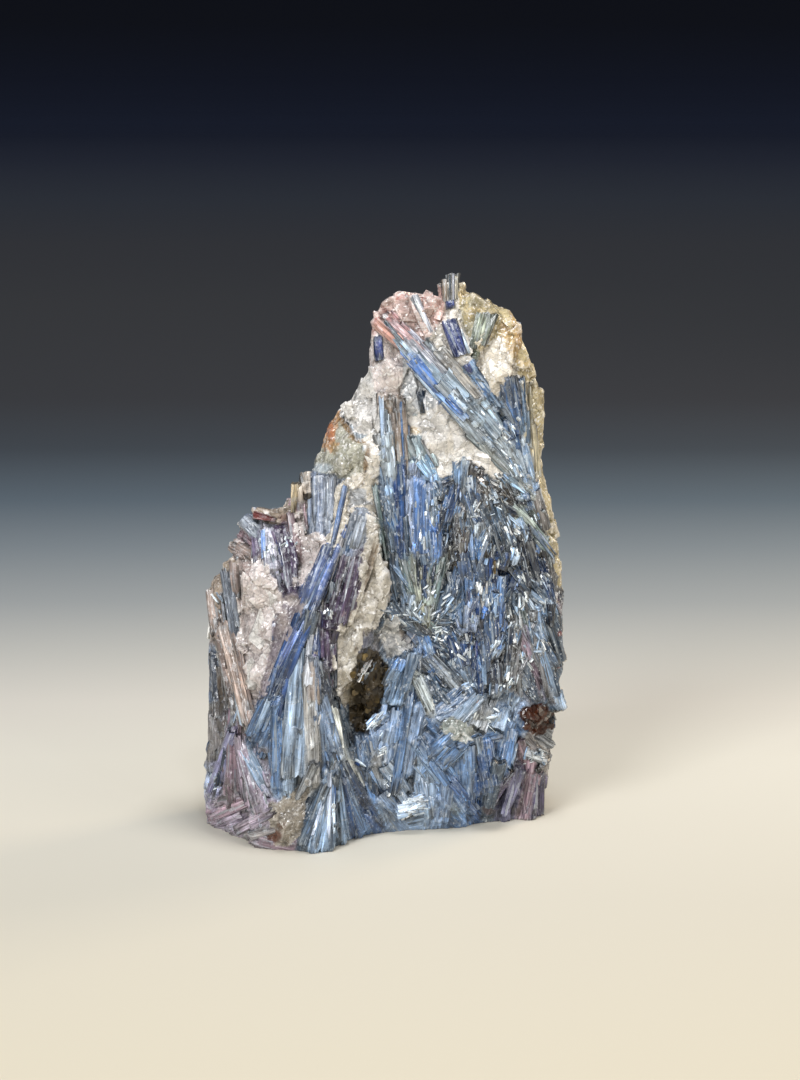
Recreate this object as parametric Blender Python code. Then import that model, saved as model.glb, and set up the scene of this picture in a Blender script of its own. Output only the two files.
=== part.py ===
"""A kyanite blade cluster: blue kyanite blades grown through milky quartz, standing on its broken, flat underside.

The whole specimen grew as one mass, so it is one solid. The quartz is a handful of rough lumps, each the hull of
a few drawn points. Kyanite blades and quartz chunks are set into the lumps and all of it is joined in one union.

The show face is drawn in millimetres as an eye 600 mm away and 12 degrees above level sees it: u runs right and
v runs up. A drawn point needs one more number to be a place in the solid: how far back it lies, along +Y.
"""

import math
import random

import bmesh
import bpy
from mathutils import Matrix, Vector, noise
from mathutils.bvhtree import BVHTree

MM = 0.001

# Driving dimensions, in millimetres and degrees
EYE_DISTANCE = 600.0
EYE_ELEVATION = 12.0
DRAWING_CENTRE = (3.75, 78.0)  # the drawn point on the eye's axis
CENTRE_HEIGHT = 73.55  # height of that point above the table
CENTRE_SHIFT = (0.29, 0.6)  # moves the finished solid so that its box is centred on the origin

SKIN_GRAIN = 1.0  # size of the squares the quartz's skin is worked in
FACETS = ((12.0, 1.9), (5.5, 0.9))  # flats of the broken quartz: how wide they are, how far they stand out
ROCK_TRIANGLES = 2300  # left in the quartz before the blades are set in
BLADE_DEPTH = 5.0  # how far a blade is rooted below its outer face
BLADE_PROUD = 1.0  # how far its outer face stands out of the quartz
BLADE_CHAMFER = 0.22  # share of the width taken off each long edge
CHAMFER_FROM = 3.6  # narrower blades have plain edges
WELD = 0.002
FINISHED_TRIANGLES = 9400  # left in the whole cluster

# Where the front of the specimen meets the table, then round the back, as (x, y)
FOOT_LEFT = [(-45.5, -2.7), (-42.5, -8.4), (-37, -15), (-32, -21), (-22, -24), (-16, -23), (-12, -19), (-8, -11),
             (-5, 12), (-12, 22), (-30, 18), (-42, 8)]
FOOT_RIGHT = [(-12, -13), (-8, -11.5), (-2, -8.4), (4, -5.2), (10, -3.3), (16, -1.7), (20, 1), (33, 0.5), (38, 1.2),
              (39.8, 7), (39, 18), (30, 23), (8, 24), (-14, 22)]

# Quartz lumps. Each is the hull of drawn ribs (u, v, front, back), and of a footprint where it stands on the table.
LUMPS = {
    "foot_left": (FOOT_LEFT, [(-45.3, 12, -3, 8), (-44.3, 22, -4, 8), (-42.5, 33, -6, 12), (-36, 36, -14, 16),
                              (-29, 38, -19, 18), (-21, 40, -22.5, 20), (-13, 38, -20, 20), (-11, 26, -19, 20)]),
    "left_wall": (None, [(-42, 28, -5, 10), (-41.8, 42, -5, 12), (-42.5, 55, -4, 12), (-43.8, 65, -1, 9),
                         (-40.5, 71, 0, 8), (-35, 73, -6, 10), (-28, 72.5, -11, 14), (-24, 66, -14, 16),
                         (-26, 45, -18, 18), (-30, 30, -18, 18)]),
    "prow": (None, [(-26, 40, -19, 18), (-24, 62, -14, 18), (-17, 72, -13, 18), (-9, 84, -11, 14), (-3, 82, -10, 14),
                    (1.5, 64, -11, 14), (-4.5, 50, -14, 18), (-11.5, 38, -19, 18), (-19, 36, -22, 18)]),
    "core": (None, [(-34, 40, -5, 18), (-31, 78, 3, 13), (-16, 91, 2, 15), (0, 97, 0, 18), (5, 60, 0, 20),
                    (0, 30, 0, 22), (-30, 20, 0, 20)]),
    "left_ledge": (None, [(-36.5, 77, 0, 12), (-34, 82.5, 2, 12), (-27, 86.2, 3, 12), (-21, 86, 0, 14),
                          (-14, 90, -5, 15), (-8, 91, -6, 15), (-10, 70, -10, 15), (-25, 64, -11, 15),
                          (-33, 70, -5, 12)]),
    "shoulder": (None, [(-19, 88, -3, 16), (-18.5, 94.5, 0, 14), (-15, 97, 2, 14), (-13.8, 104.5, 3, 14),
                        (-10.5, 110.5, 4, 15), (-6.3, 115.5, 4, 15), (-3.5, 117, 3, 16), (0, 112, -2, 18),
                        (2, 88, -5, 18), (-8, 84, -6, 18)]),
    "right_slab": (None, [(-11, 10, -9, 22), (-10, 45, -8, 22), (-6, 70, -6, 20), (2, 95, -3, 20), (12, 97, -3, 20),
                          (26, 97, -2, 19), (38.5, 90, 5, 18), (43.3, 74, 8, 18), (43.8, 68, 8, 18),
                          (43, 58, 7, 18), (40, 40, 3, 20), (34, 22, 0, 22), (10, 12, -6, 23)]),
    "flank": (None, [(28, 66, 0, 18), (42, 62, 6, 17), (44, 50, 7, 17), (43.8, 38, 7, 17), (41.5, 33, 6, 16),
                     (35, 32.5, 0, 18), (25, 45, -3, 18)]),
    "foot_right": (FOOT_RIGHT, [(-11, 24, -14, 20), (-4, 30, -10, 20), (6, 36, -7, 20), (20, 34, -5, 20),
                                (36, 29, 1, 18), (41.2, 27, 5, 15), (39.8, 20, 5, 16), (39.4, 12, 3, 16)]),
    "bulge": (None, [(8, 28, -9, 10), (12, 35, -10, 10), (20, 38, -9, 10), (29, 35, -6, 10), (32, 28, -5, 10),
                     (29, 14, -5, 10), (18, 11, -7, 10), (9, 14, -9, 10)]),
    "spire": (None, [(-3, 94, 0, 16), (-2.6, 118, 1, 14), (-3.4, 131, 3, 13), (-1, 136.5, 4, 12), (3, 139.3, 5, 11),
                     (13, 139.6, 5, 11), (21, 139.6, 6, 11), (27, 136.8, 6, 12), (31, 135.3, 6, 12),
                     (35, 125, 6, 13), (37.2, 117, 7, 14), (38.2, 108, 8, 15), (38.3, 92, 8, 17), (24, 88, -2, 17),
                     (8, 88, -3, 17), (14, 114, -2, 14), (26, 112, -1, 14)]),
}

# Chunks of quartz and mica that stand out of the lumps: (u, v), (width, height, depth), proud, lean, twist
CHUNKS = [
    ((-30.2, 66.5), (11, 13, 9), 2.5, -12, 20), ((-31.5, 52), (9, 17, 8), 1.8, 6, -15),
    ((-31.8, 43.5), (7, 9, 7), 1.5, 0, 30), ((-17, 77), (8, 7, 6), 1.6, 20, 10),
    ((-5.5, 57), (9, 17, 7), 2.0, -22, 12), ((-8.8, 46), (6, 13, 6), 1.2, -8, 0),
    ((-1.5, 68), (6, 12, 7), 1.2, 12, -20), ((-9.5, 87), (8, 7, 7), 1.5, 0, 15),
    ((-9.5, 99), (9, 12, 7), 1.4, 8, -10), ((-8, 110), (7, 8, 7), 1.8, 30, 5), ((-4.9, 116), (4, 4.2, 5), 1.2, 0, 0),
    ((-2.8, 99), (4, 11, 5), 1.0, 0, 20), ((10.5, 104), (9, 10, 7), 1.8, 15, -10),
    ((8.5, 98), (6, 10, 6), 2.0, 28, 5), ((6.2, 117), (6, 9, 5), 1.0, 10, 20), ((0.5, 120), (5, 12, 6), 1.4, -5, 10),
    ((28.5, 121.5), (9, 15, 7), 1.0, -20, -15), ((21.5, 136), (6, 8, 6), 1.3, 0, 25),
    ((12, 136.5), (5, 7, 5), 1.2, -8, 0), ((31.5, 129), (6, 12, 7), 1.0, -22, 10),
    ((18, 104), (10, 9, 6), 0.6, -40, 10), ((-24.5, 6.5), (6, 8, 7), 1.4, 0, 20), ((-4.5, 43), (7, 16, 6), 0.6, -22, 0),
    ((38.5, 24.5), (7, 8, 7), 1.2, 20, 10), ((-13, 84), (5, 8, 5), 1.0, 0, 0), ((-24, 61), (5, 9, 5), 0.8, -20, 0),
    ((-35.5, 64), (4, 14, 6), 0.8, 5, 10), ((38.4, 109), (2.2, 11, 6), 0.5, 0, 0), ((-2.5, 22), (8, 7, 6), 1.2, 0, 15),
]

# Single kyanite blades: foot, tip, width, proud at the foot and at the tip
BLADES = [
    # the long crossing blade on the prow, broken into four lengths
    ((-10, 91), (-13.6, 73.5), 2.4, 1.2, 1.8), ((-13, 76.5), (-20, 60), 5.0, 2.2, 3.2),
    ((-19.3, 60.5), (-29, 37), 6.4, 3.0, 2.6), ((-27.2, 39.5), (-32.6, 27.5), 5.4, 2.2, 1.6),
    # the curtain below it
    ((-20.5, 53), (-23.4, 21), 5.2, 1.6, 2.0), ((-18.6, 49), (-18.5, 17), 3.4, 2.4, 2.8),
    ((-26.8, 37), (-26.9, 16), 3.6, 1.2, 1.8), ((-16, 47), (-12.6, 34), 4.0, 1.6, 1.4),
    ((-14.3, 66), (-13.4, 46), 3.4, 1.8, 1.8), ((-15.8, 40), (-11.2, 23), 4.0, 1.8, 2.2),
    ((-22.6, 31), (-24.2, 15), 2.6, 0.8, 1.0),
    # the thick pair at the prow's right edge
    ((-5.6, 85), (-11, 69), 5.4, 1.8, 1.6), ((-3.2, 83.5), (-12.8, 55.5), 6.4, 2.6, 2.0),
    ((-1.6, 79), (-9.3, 58), 2.8, 1.6, 1.6),
    # stubs on the left ledge
    ((-15.6, 94), (-15.9, 78), 6.2, 2.2, 2.2), ((-19, 92.5), (-19.2, 80), 1.8, 1.6, 1.6),
    ((-22, 91), (-22.4, 84), 2.4, 1.5, 1.2), ((-19.6, 94.6), (-19, 89), 2.0, 0.8, 0.6),
    ((-32.2, 80), (-32.5, 71.5), 2.4, 1.4, 1.0), ((-29.8, 81), (-28, 71), 4.4, 2.2, 1.6),
    ((-26.2, 80.5), (-23.2, 64.5), 3.8, 2.0, 1.6), ((-23.8, 85), (-22.6, 75), 2.4, 1.4, 1.0),
    ((-38.2, 77.3), (-32.5, 73.5), 3.6, 1.2, 1.6), ((-35.3, 83.3), (-30.5, 78), 4.2, 1.0, 1.4),
    ((-33, 85), (-25.5, 83.5), 2.6, 1.2, 1.2),
    # splinters down the left edge
    ((-39.8, 72.5), (-36.2, 50), 3.0, 1.2, 1.6), ((-43.4, 66), (-41.2, 54), 3.2, 0.8, 0.8),
    ((-40, 56.5), (-33.8, 31), 3.8, 1.8, 2.4), ((-42.3, 59), (-38.2, 36), 3.0, 0.8, 1.0),
    ((-42.4, 48.5), (-41.8, 39), 2.4, 0.8, 0.6), ((-38, 73.2), (-37, 62), 2.6, 0.8, 1.0),
    ((-41.2, 38), (-41.4, 29), 3.0, 0.8, 1.0), ((-42.6, 30.5), (-43, 22), 2.6, 0.8, 1.0),
    # the mauve fan at the left foot
    ((-37.6, 30), (-43.6, 13.5), 4.4, 1.4, 1.8), ((-38, 30), (-38.4, 11), 3.4, 1.4, 1.8),
    ((-36.4, 28), (-31.6, 10), 3.4, 1.4, 1.6), ((-35, 26), (-28.6, 15), 3.0, 1.2, 1.4),
    ((-35.5, 12.5), (-44, 7.5), 3.6, 1.4, 1.2), ((-39, 5), (-28.5, 9.5), 3.6, 1.2, 1.4),
    # the white and slate fan under the prow
    ((-14.6, 17), (-20.6, 1.5), 2.6, 0.8, 1.4), ((-14.4, 18), (-17.6, 0.6), 2.6, 1.0, 1.4),
    ((-13.6, 20), (-14, 0.8), 3.2, 1.2, 1.6), ((-12.4, 18), (-10.6, 2.2), 2.6, 1.0, 1.4),
    ((-11.4, 18), (-7.6, 4), 2.4, 1.0, 1.2), ((-9.6, 18), (-4.8, 5.4), 2.6, 1.0, 1.2), ((-7, 17), (-2.8, 7), 2.8, 1.0, 1.2),
    # the hollow beside the prow
    ((5.2, 50), (2, 37), 6.4, 1.8, 1.8), ((7.8, 43.5), (11.8, 34.5), 2.4, 2.0, 2.0), ((10.6, 49.5), (19.4, 40), 3.2, 1.4, 1.2),
    ((11, 43), (14.6, 36), 2.4, 1.4, 1.2), ((1, 61), (4.4, 56), 4.6, 1.6, 1.4), ((5.6, 40), (1.8, 14), 4.4, 1.4, 1.6),
    ((8.8, 36), (5, 20), 3.2, 1.0, 1.2), ((-5.6, 31), (0.4, 35), 2.2, 1.8, 1.4), ((-6.8, 43), (-3, 47.5), 2.2, 1.6, 1.4),
    # the blue bulge and the purple foot to its right
    ((8, 28), (20, 10.5), 3.2, 1.0, 1.6), ((9.5, 23), (17.5, 30.5), 3.4, 1.0, 1.4), ((13.6, 21.5), (20.6, 28.5), 3.0, 1.0, 1.4),
    ((24.6, 27.5), (26.6, 16.5), 5.4, 1.4, 1.8), ((20.4, 27), (21.2, 10), 4.4, 1.0, 1.4), ((31.4, 30.5), (29.6, 20), 3.2, 1.4, 1.2),
    ((14.4, 37), (24, 36.5), 6.0, 0.9, 0.9), ((4, 10), (9.6, 12.4), 5.0, 1.6, 1.4), ((15.6, 16), (14.2, 7.6), 3.4, 1.0, 1.2),
    ((17, 17), (23, 10), 2.6, 1.0, 1.2), ((28.6, 21), (25.4, 9), 3.4, 1.0, 1.4), ((33, 21), (30, 8.6), 3.6, 1.0, 1.4),
    ((36.6, 20), (36, 8.4), 4.2, 1.0, 1.4),
    # the tall column up the middle
    ((-0.8, 114), (-0.2, 98), 2.2, 1.4, 1.2), ((1.6, 113.6), (3, 100), 2.8, 1.0, 1.2), ((3.7, 113), (4.3, 98), 1.9, 1.6, 1.6),
    ((0.2, 104), (1.4, 84), 3.0, 0.8, 0.8), ((3.1, 98), (4.0, 73.5), 4.2, 2.0, 2.0), ((-1, 96), (2.4, 76), 2.8, 0.8, 1.0),
    ((6.2, 92), (6.2, 77), 2.4, 1.8, 1.8), ((8.6, 92.6), (8.4, 71), 3.4, 2.4, 2.2), ((11.2, 91.4), (11, 74), 3.2, 2.0, 1.8),
    ((13.4, 87), (13.6, 74), 2.4, 1.4, 1.4),
    # the star below it, all running to one point
    ((1.4, 75), (6.4, 60), 2.8, 0.8, 1.0), ((4.6, 75), (7, 59), 2.8, 1.2, 1.2), ((7.4, 75.5), (8, 58), 3.0, 1.6, 1.4),
    ((10, 75), (9.2, 57.5), 3.2, 1.6, 1.4), ((12.8, 74), (10.4, 59), 3.0, 1.2, 1.2), ((17.4, 66.5), (11.8, 58.5), 3.2, 1.2, 1.2),
    # the dark fan hanging from the quartz
    ((19, 98), (14, 82.5), 4.4, 1.4, 1.0), ((19.6, 97.6), (18, 72), 3.6, 1.6, 1.4), ((21.4, 95), (21.4, 69), 3.0, 1.2, 1.4),
    ((22.8, 94), (24.6, 74), 2.8, 1.2, 1.4), ((24, 92.5), (28.4, 72), 3.0, 1.2, 1.6), ((25.4, 91), (33, 72), 3.4, 1.4, 2.0),
    ((27, 89.5), (37, 75), 3.2, 1.6, 2.0), ((29, 89), (41.2, 76), 3.2, 1.2, 1.0), ((33.5, 88), (42.8, 73), 2.8, 1.0, 0.8),
    # blocks in the right flank
    ((24.2, 76), (24.4, 66), 2.6, 1.6, 1.6), ((26.6, 75.5), (26.8, 65), 2.6, 1.6, 1.6), ((21.6, 70), (21.9, 55.5), 3.8, 1.8, 2.0),
    ((25.2, 65.5), (25.2, 55), 2.4, 1.2, 1.4), ((28, 66), (27.4, 55.5), 3.6, 1.8, 1.6), ((20.2, 56), (19.4, 41.5), 6.4, 1.2, 1.4),
    ((23.8, 55.5), (24.2, 41), 3.0, 1.2, 1.4), ((28.4, 54.5), (25.4, 47), 3.6, 1.8, 1.4), ((27.4, 48), (27.8, 39), 5.0, 0.8, 1.0),
    ((13.4, 49.5), (21.4, 41), 4.4, 0.8, 1.2), ((34, 71), (35, 58), 3.6, 1.2, 1.2), ((39.6, 70), (40.4, 57), 3.4, 1.0, 1.2),
    ((32, 56.5), (31, 42), 4.0, 1.0, 1.2), ((36.6, 58.5), (44, 35.5), 3.6, 1.2, 1.4), ((38.4, 51), (42, 35.5), 2.6, 1.8, 2.0),
    ((40.6, 62), (44.2, 48), 3.0, 0.8, 0.8),
    # the long sweep across the spire
    ((4.4, 127.5), (19.4, 109.5), 3.8, 2.2, 2.4), ((7.6, 125), (23, 107), 3.0, 1.6, 2.0), ((8.6, 120), (27, 100), 2.0, 1.8, 1.6),
    ((0.6, 133.5), (9.2, 124.6), 2.6, 1.6, 1.6), ((-2.6, 133), (4, 127), 2.8, 1.2, 1.2), ((7, 139), (11.4, 129), 2.6, 1.8, 1.6),
    ((15.8, 134), (20.4, 123), 4.2, 1.0, 1.2), ((20.8, 122), (28.6, 110.5), 4.0, 1.4, 1.8), ((13, 127), (24, 113), 3.2, 1.0, 1.4),
    ((14.6, 121.5), (31.6, 101.5), 4.0, 1.2, 1.6), ((22, 113.5), (35.4, 96), 4.4, 1.4, 1.6), ((18, 111), (34.4, 93), 3.2, 1.2, 1.4),
    ((23, 103), (37.6, 88.6), 2.6, 1.4, 1.6), ((30.6, 118.5), (32.8, 106), 4.0, 1.4, 1.8), ((33.6, 117), (36, 101), 3.0, 1.2, 1.2),
    ((31, 106), (37.6, 92.5), 5.0, 1.6, 1.8), ((25.4, 134.5), (23, 125.5), 2.8, 1.4, 1.4),
    # crystals along the top
    ((16.9, 143.3), (16.9, 135), 2.2, 0.6, 1.4), ((15, 141.8), (15.2, 136), 1.5, 0.4, 1.0), ((18.3, 142.2), (18.2, 136), 1.5, 0.4, 1.0),
]

# Blades on the faces away from the show face: (across, up) of the foot and of the tip, width. Across is x on the
# back and y on the two ends.
AWAY = {
    (0, 1, 0): [((30, 20), (22, 48), 4.4), ((24, 15), (12, 30), 3.2), ((8, 60), (14, 92), 4.6), ((21, 70), (26, 104), 4.2),
                ((-2, 40), (-10, 70), 5.4), ((-20, 20), (-14, 52), 4.2), ((-31, 35), (-27, 62), 3.2),
                ((-36, 12), (-30, 30), 3.4), ((32, 60), (35, 84), 3.2), ((12, 104), (19, 128), 3.2),
                ((2, 112), (7, 131), 2.8), ((-9, 84), (-4, 106), 3.2), ((0, 8), (6, 34), 4.2), ((-24, 62), (-20, 76), 2.8),
                ((37, 30), (34, 52), 3.2), ((17, 44), (3, 52), 3.4)],
    (-1, 0, 0): [((-2, 22), (2, 44), 3.4), ((7, 40), (3, 63), 3.2), ((12, 8), (8, 30), 3.2), ((-5, 8), (-1, 24), 2.8)],
    (1, 0, 0): [((8, 20), (10, 44), 3.2), ((14, 40), (10, 66), 3.2), ((12, 70), (13, 92), 3.0), ((10, 96), (9.5, 116), 2.6),
                ((17, 12), (14, 30), 3.2)],
}
AWAY_PROUD = {(0, 1, 0): 1.4, (-1, 0, 0): 0.4, (1, 0, 0): 0.3}

FRONT_EYE = Vector((DRAWING_CENTRE[0], 0, CENTRE_HEIGHT))
EYE_ANGLE = math.radians(EYE_ELEVATION)
LOOK = Vector((0, math.cos(EYE_ANGLE), -math.sin(EYE_ANGLE)))
UP = Vector((0, math.sin(EYE_ANGLE), math.cos(EYE_ANGLE)))
EYE = FRONT_EYE - LOOK * EYE_DISTANCE


def clear_scene():
    for obj in list(bpy.data.objects):
        bpy.data.objects.remove(obj, do_unlink=True)


def drawn_ray(u, v):
    """The eye's unit line of sight through a point of the drawing."""
    across = Vector((u - DRAWING_CENTRE[0], 0, 0))
    on_plane = FRONT_EYE + across + UP * (v - DRAWING_CENTRE[1])
    return (on_plane - EYE).normalized()


def at_depth(u, v, y):
    """The place on that line of sight that lies y behind the drawing plane's centre."""
    ray = drawn_ray(u, v)
    return EYE + ray * ((y - EYE.y) / ray.y)


def on_rock(rock, u, v):
    """Where the line of sight through (u, v) meets the lumps. A point just off the outline is pulled in towards it."""
    for step in range(12):
        pull = 0.93**step
        near = (DRAWING_CENTRE[0] + (u - DRAWING_CENTRE[0]) * pull, 60 + (v - 60) * pull)
        hit, normal, _, _ = rock.ray_cast(EYE, drawn_ray(*near))
        if hit is not None:
            place = EYE + drawn_ray(u, v) * (hit - EYE).length
            return place, normal, (EYE - place).normalized()
    raise ValueError(f"nothing to stand on near {u}, {v}")


def on_far_side(rock, side, across, up):
    """The same for a face turned away: straight in from that side."""
    facing = Vector(side)
    start = facing * 200 + Vector((across * abs(facing.y), across * abs(facing.x), up))
    hit, normal, _, _ = rock.ray_cast(start, -facing)
    return hit, normal, facing


def broken_face(point, size, relief):
    """How far a broken quartz face stands out at a point: each cell of the break is one flat with its own tilt."""
    cell = noise.voronoi(point / size)[1][0]
    tilt = noise.cell_vector(cell * 9.7) - Vector((0.5, 0.5, 0.5))
    return relief * (tilt.x + 1.6 * (point / size - cell).dot(tilt))


def finish_mesh(name, shape):
    """Turns a bmesh in millimetres into an object in metres."""
    bmesh.ops.scale(shape, vec=Vector((MM, MM, MM)), verts=shape.verts)
    mesh = bpy.data.meshes.new(name)
    shape.to_mesh(mesh)
    shape.free()
    obj = bpy.data.objects.new(name, mesh)
    bpy.context.scene.collection.objects.link(obj)
    return obj


def hull_of(points):
    shape = bmesh.new()
    for point in points:
        shape.verts.new(point)
    bmesh.ops.convex_hull(shape, input=shape.verts)
    loose = [v for v in shape.verts if not v.link_faces]
    bmesh.ops.delete(shape, geom=loose, context="VERTS")
    bmesh.ops.recalc_face_normals(shape, faces=shape.faces)
    return shape


def baked(obj):
    """Applies the object's modifiers."""
    graph = bpy.context.evaluated_depsgraph_get()
    obj.data = bpy.data.meshes.new_from_object(obj.evaluated_get(graph))
    obj.modifiers.clear()


def skin_over(obj, grain):
    """One closed skin, of even squares, over everything in the object."""
    skin = obj.modifiers.new("one skin", "REMESH")
    skin.mode = "VOXEL"
    skin.voxel_size = grain * MM
    skin.adaptivity = 0.0
    baked(obj)


def break_surface(obj):
    """Shifts the skin out or in, so that it breaks into tilted flats."""
    shape = bmesh.new()
    shape.from_mesh(obj.data)
    for _ in range(1):
        bmesh.ops.smooth_vert(shape, verts=shape.verts, factor=0.5, use_axis_x=True, use_axis_y=True, use_axis_z=True)
    shape.normal_update()
    for vertex in shape.verts:
        point = vertex.co / MM
        height = sum(broken_face(point, size, relief) for size, relief in FACETS)
        vertex.co += vertex.normal * height * MM
    shape.to_mesh(obj.data)
    shape.free()


def thin_out(obj, triangles):
    """Fewer, larger triangles: the flats stay, the small ones inside them go."""
    share = obj.modifiers.new("fewer faces", "DECIMATE")
    share.decimate_type = "COLLAPSE"
    share.ratio = triangles / sum(len(f.vertices) - 2 for f in obj.data.polygons)
    baked(obj)


def lump_shape(footprint, ribs):
    points = [Vector((x, y, z)) for x, y in footprint or [] for z in (-6.0, 0.0)]
    for u, v, front, back in ribs:
        points.append(at_depth(u, v, front))
        points.append(at_depth(u, v, back))
    return hull_of(points)


def frame_on(axis, outward):
    """A rotation whose Z runs along the axis and whose Y points outwards."""
    along = axis.normalized()
    across = outward.cross(along).normalized()
    out = along.cross(across)
    return Matrix((across, out, along)).transposed()


def chisel(shape, at, normal):
    """Cuts the end of a blade off flat and closes the cut."""
    geom = shape.verts[:] + shape.edges[:] + shape.faces[:]
    cut = bmesh.ops.bisect_plane(shape, geom=geom, plane_co=at, plane_no=normal, clear_outer=True)
    edges = [e for e in cut["geom_cut"] if isinstance(e, bmesh.types.BMEdge)]
    bmesh.ops.contextual_create(shape, geom=edges)


def blade_shape(foot, tip, width, proud, rng):
    """One kyanite blade: a flat prism, the long edges of a wide one chamfered, with an oblique break at each end."""
    start, start_normal, start_view = foot
    end, end_normal, end_view = tip
    facing = (start_view + end_view).normalized()
    outward = (start_normal + end_normal + 2.0 * facing).normalized()
    start = start + facing * (proud[0] + BLADE_PROUD * 0.3)
    end = end + facing * (proud[1] + BLADE_PROUD * 0.3)
    axis = end - start
    length = axis.length
    turn = frame_on(axis, outward)
    roll = Matrix.Rotation(math.radians(rng.uniform(-9, 9)), 3, "Z")
    shape = bmesh.new()
    bmesh.ops.create_cube(shape, size=1.0)
    bmesh.ops.scale(shape, vec=Vector((width, BLADE_DEPTH, length + 1.2)), verts=shape.verts)
    bmesh.ops.translate(shape, vec=Vector((0, -BLADE_DEPTH / 2, length / 2)), verts=shape.verts)
    if width >= CHAMFER_FROM:
        long_edges = [e for e in shape.edges if e.verts[0].co.y > -0.1 and e.verts[1].co.y > -0.1
                      and abs((e.verts[0].co - e.verts[1].co).z) > 0.5 * length]
        bmesh.ops.bevel(shape, geom=long_edges, offset=width * BLADE_CHAMFER, segments=1, profile=0.5,
                        affect="EDGES", material=-1)
    chisel(shape, Vector((0, 0, -0.3)), Vector((rng.uniform(-0.4, 0.4), rng.uniform(0, 0.4), -1)).normalized())
    chisel(shape, Vector((0, 0, length + 0.3)), Vector((rng.uniform(-0.4, 0.4), rng.uniform(0, 0.4), 1)).normalized())
    placed = Matrix.Translation(start) @ (turn @ roll).to_4x4()
    bmesh.ops.transform(shape, matrix=placed, verts=shape.verts)
    bmesh.ops.recalc_face_normals(shape, faces=shape.faces)
    return shape


def chunk_shape(at, size, proud, lean, twist, rng, rock):
    """One angular chunk of quartz."""
    place, normal, to_eye = on_rock(rock, *at)
    width, height, depth = size
    corners = []
    for _ in range(16):
        spot = Vector((rng.gauss(0, 1), rng.gauss(0, 1), rng.gauss(0, 1))).normalized() * rng.uniform(0.46, 0.62)
        corners.append(Vector((spot.x * width, spot.y * depth, spot.z * height)))
    turn = frame_on(UP, (normal + to_eye).normalized())
    swing = Matrix.Rotation(math.radians(lean), 3, "Y") @ Matrix.Rotation(math.radians(twist), 3, "Z")
    placed = Matrix.Translation(place + to_eye * (proud - depth * 0.36)) @ (turn @ swing).to_4x4()
    return hull_of([placed @ corner for corner in corners])


def kyanite_material():
    material = bpy.data.materials.new("kyanite")
    material.use_nodes = True
    surface = material.node_tree.nodes["Principled BSDF"]
    surface.inputs["Base Color"].default_value = (0.23, 0.31, 0.45, 1)
    surface.inputs["Roughness"].default_value = 0.35
    surface.inputs["Metallic"].default_value = 0.0
    return material


def joined(name, objects):
    """One object holding all the given meshes, still separate shells."""
    shape = bmesh.new()
    for obj in objects:
        shape.from_mesh(obj.data)
        bpy.data.objects.remove(obj, do_unlink=True)
    mesh = bpy.data.meshes.new(name)
    shape.to_mesh(mesh)
    shape.free()
    obj = bpy.data.objects.new(name, mesh)
    bpy.context.scene.collection.objects.link(obj)
    return obj


def grow_on(rock, others):
    """The union of the rock and everything set into it."""
    grown = bpy.data.collections.new("grown_on")
    bpy.context.scene.collection.children.link(grown)
    for obj in others:
        bpy.context.scene.collection.objects.unlink(obj)
        grown.objects.link(obj)
        obj.hide_render = True
        obj.display_type = "WIRE"
    union = rock.modifiers.new("grown together", "BOOLEAN")
    union.operation = "UNION"
    union.solver = "EXACT"
    union.operand_type = "COLLECTION"
    union.collection = grown
    baked(rock)
    for obj in others:
        bpy.data.objects.remove(obj, do_unlink=True)
    bpy.data.collections.remove(grown)


def cut_at_table(cluster):
    """Takes off all that is below the table, so that the cluster stands on a flat."""
    shape = bmesh.new()
    bmesh.ops.create_cube(shape, size=1.0)
    bmesh.ops.scale(shape, vec=Vector((300, 300, 60)), verts=shape.verts)
    bmesh.ops.translate(shape, vec=Vector((0, 0, -30)), verts=shape.verts)
    table = finish_mesh("table_cutter", shape)
    table.hide_render = True
    table.display_type = "WIRE"
    cut = cluster.modifiers.new("flat underside", "BOOLEAN")
    cut.operation = "DIFFERENCE"
    cut.solver = "EXACT"
    cut.object = table
    baked(cluster)
    bpy.data.objects.remove(table, do_unlink=True)


def tidy(cluster):
    """Leaves plain triangles, with the underside exactly on the table."""
    shape = bmesh.new()
    shape.from_mesh(cluster.data)
    bmesh.ops.triangulate(shape, faces=shape.faces)
    bmesh.ops.dissolve_degenerate(shape, edges=shape.edges, dist=WELD * MM)
    bmesh.ops.triangulate(shape, faces=shape.faces)
    bmesh.ops.translate(shape, vec=Vector((*CENTRE_SHIFT, 0)) * MM, verts=shape.verts)
    shape.to_mesh(cluster.data)
    shape.free()


def surface_of(obj):
    """The object's surface in millimetres, for finding where lines of sight meet it."""
    shape = bmesh.new()
    shape.from_mesh(obj.data)
    bmesh.ops.scale(shape, vec=Vector((1 / MM, 1 / MM, 1 / MM)), verts=shape.verts)
    tree = BVHTree.FromBMesh(shape)
    shape.free()
    return tree


def build_rock(rng):
    """The quartz: lumps, then the chunks that stand out of them, under one broken skin."""
    lumps = [finish_mesh(name, lump_shape(footprint, ribs)) for name, (footprint, ribs) in LUMPS.items()]
    rock = joined("rock", lumps)
    surface = surface_of(rock)
    chunks = [finish_mesh("chunk", chunk_shape(*chunk, rng, surface)) for chunk in CHUNKS]
    rock = joined("kyanite_cluster", [rock, *chunks])
    skin_over(rock, SKIN_GRAIN)
    break_surface(rock)
    skin_over(rock, SKIN_GRAIN)
    thin_out(rock, ROCK_TRIANGLES)
    return rock


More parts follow.
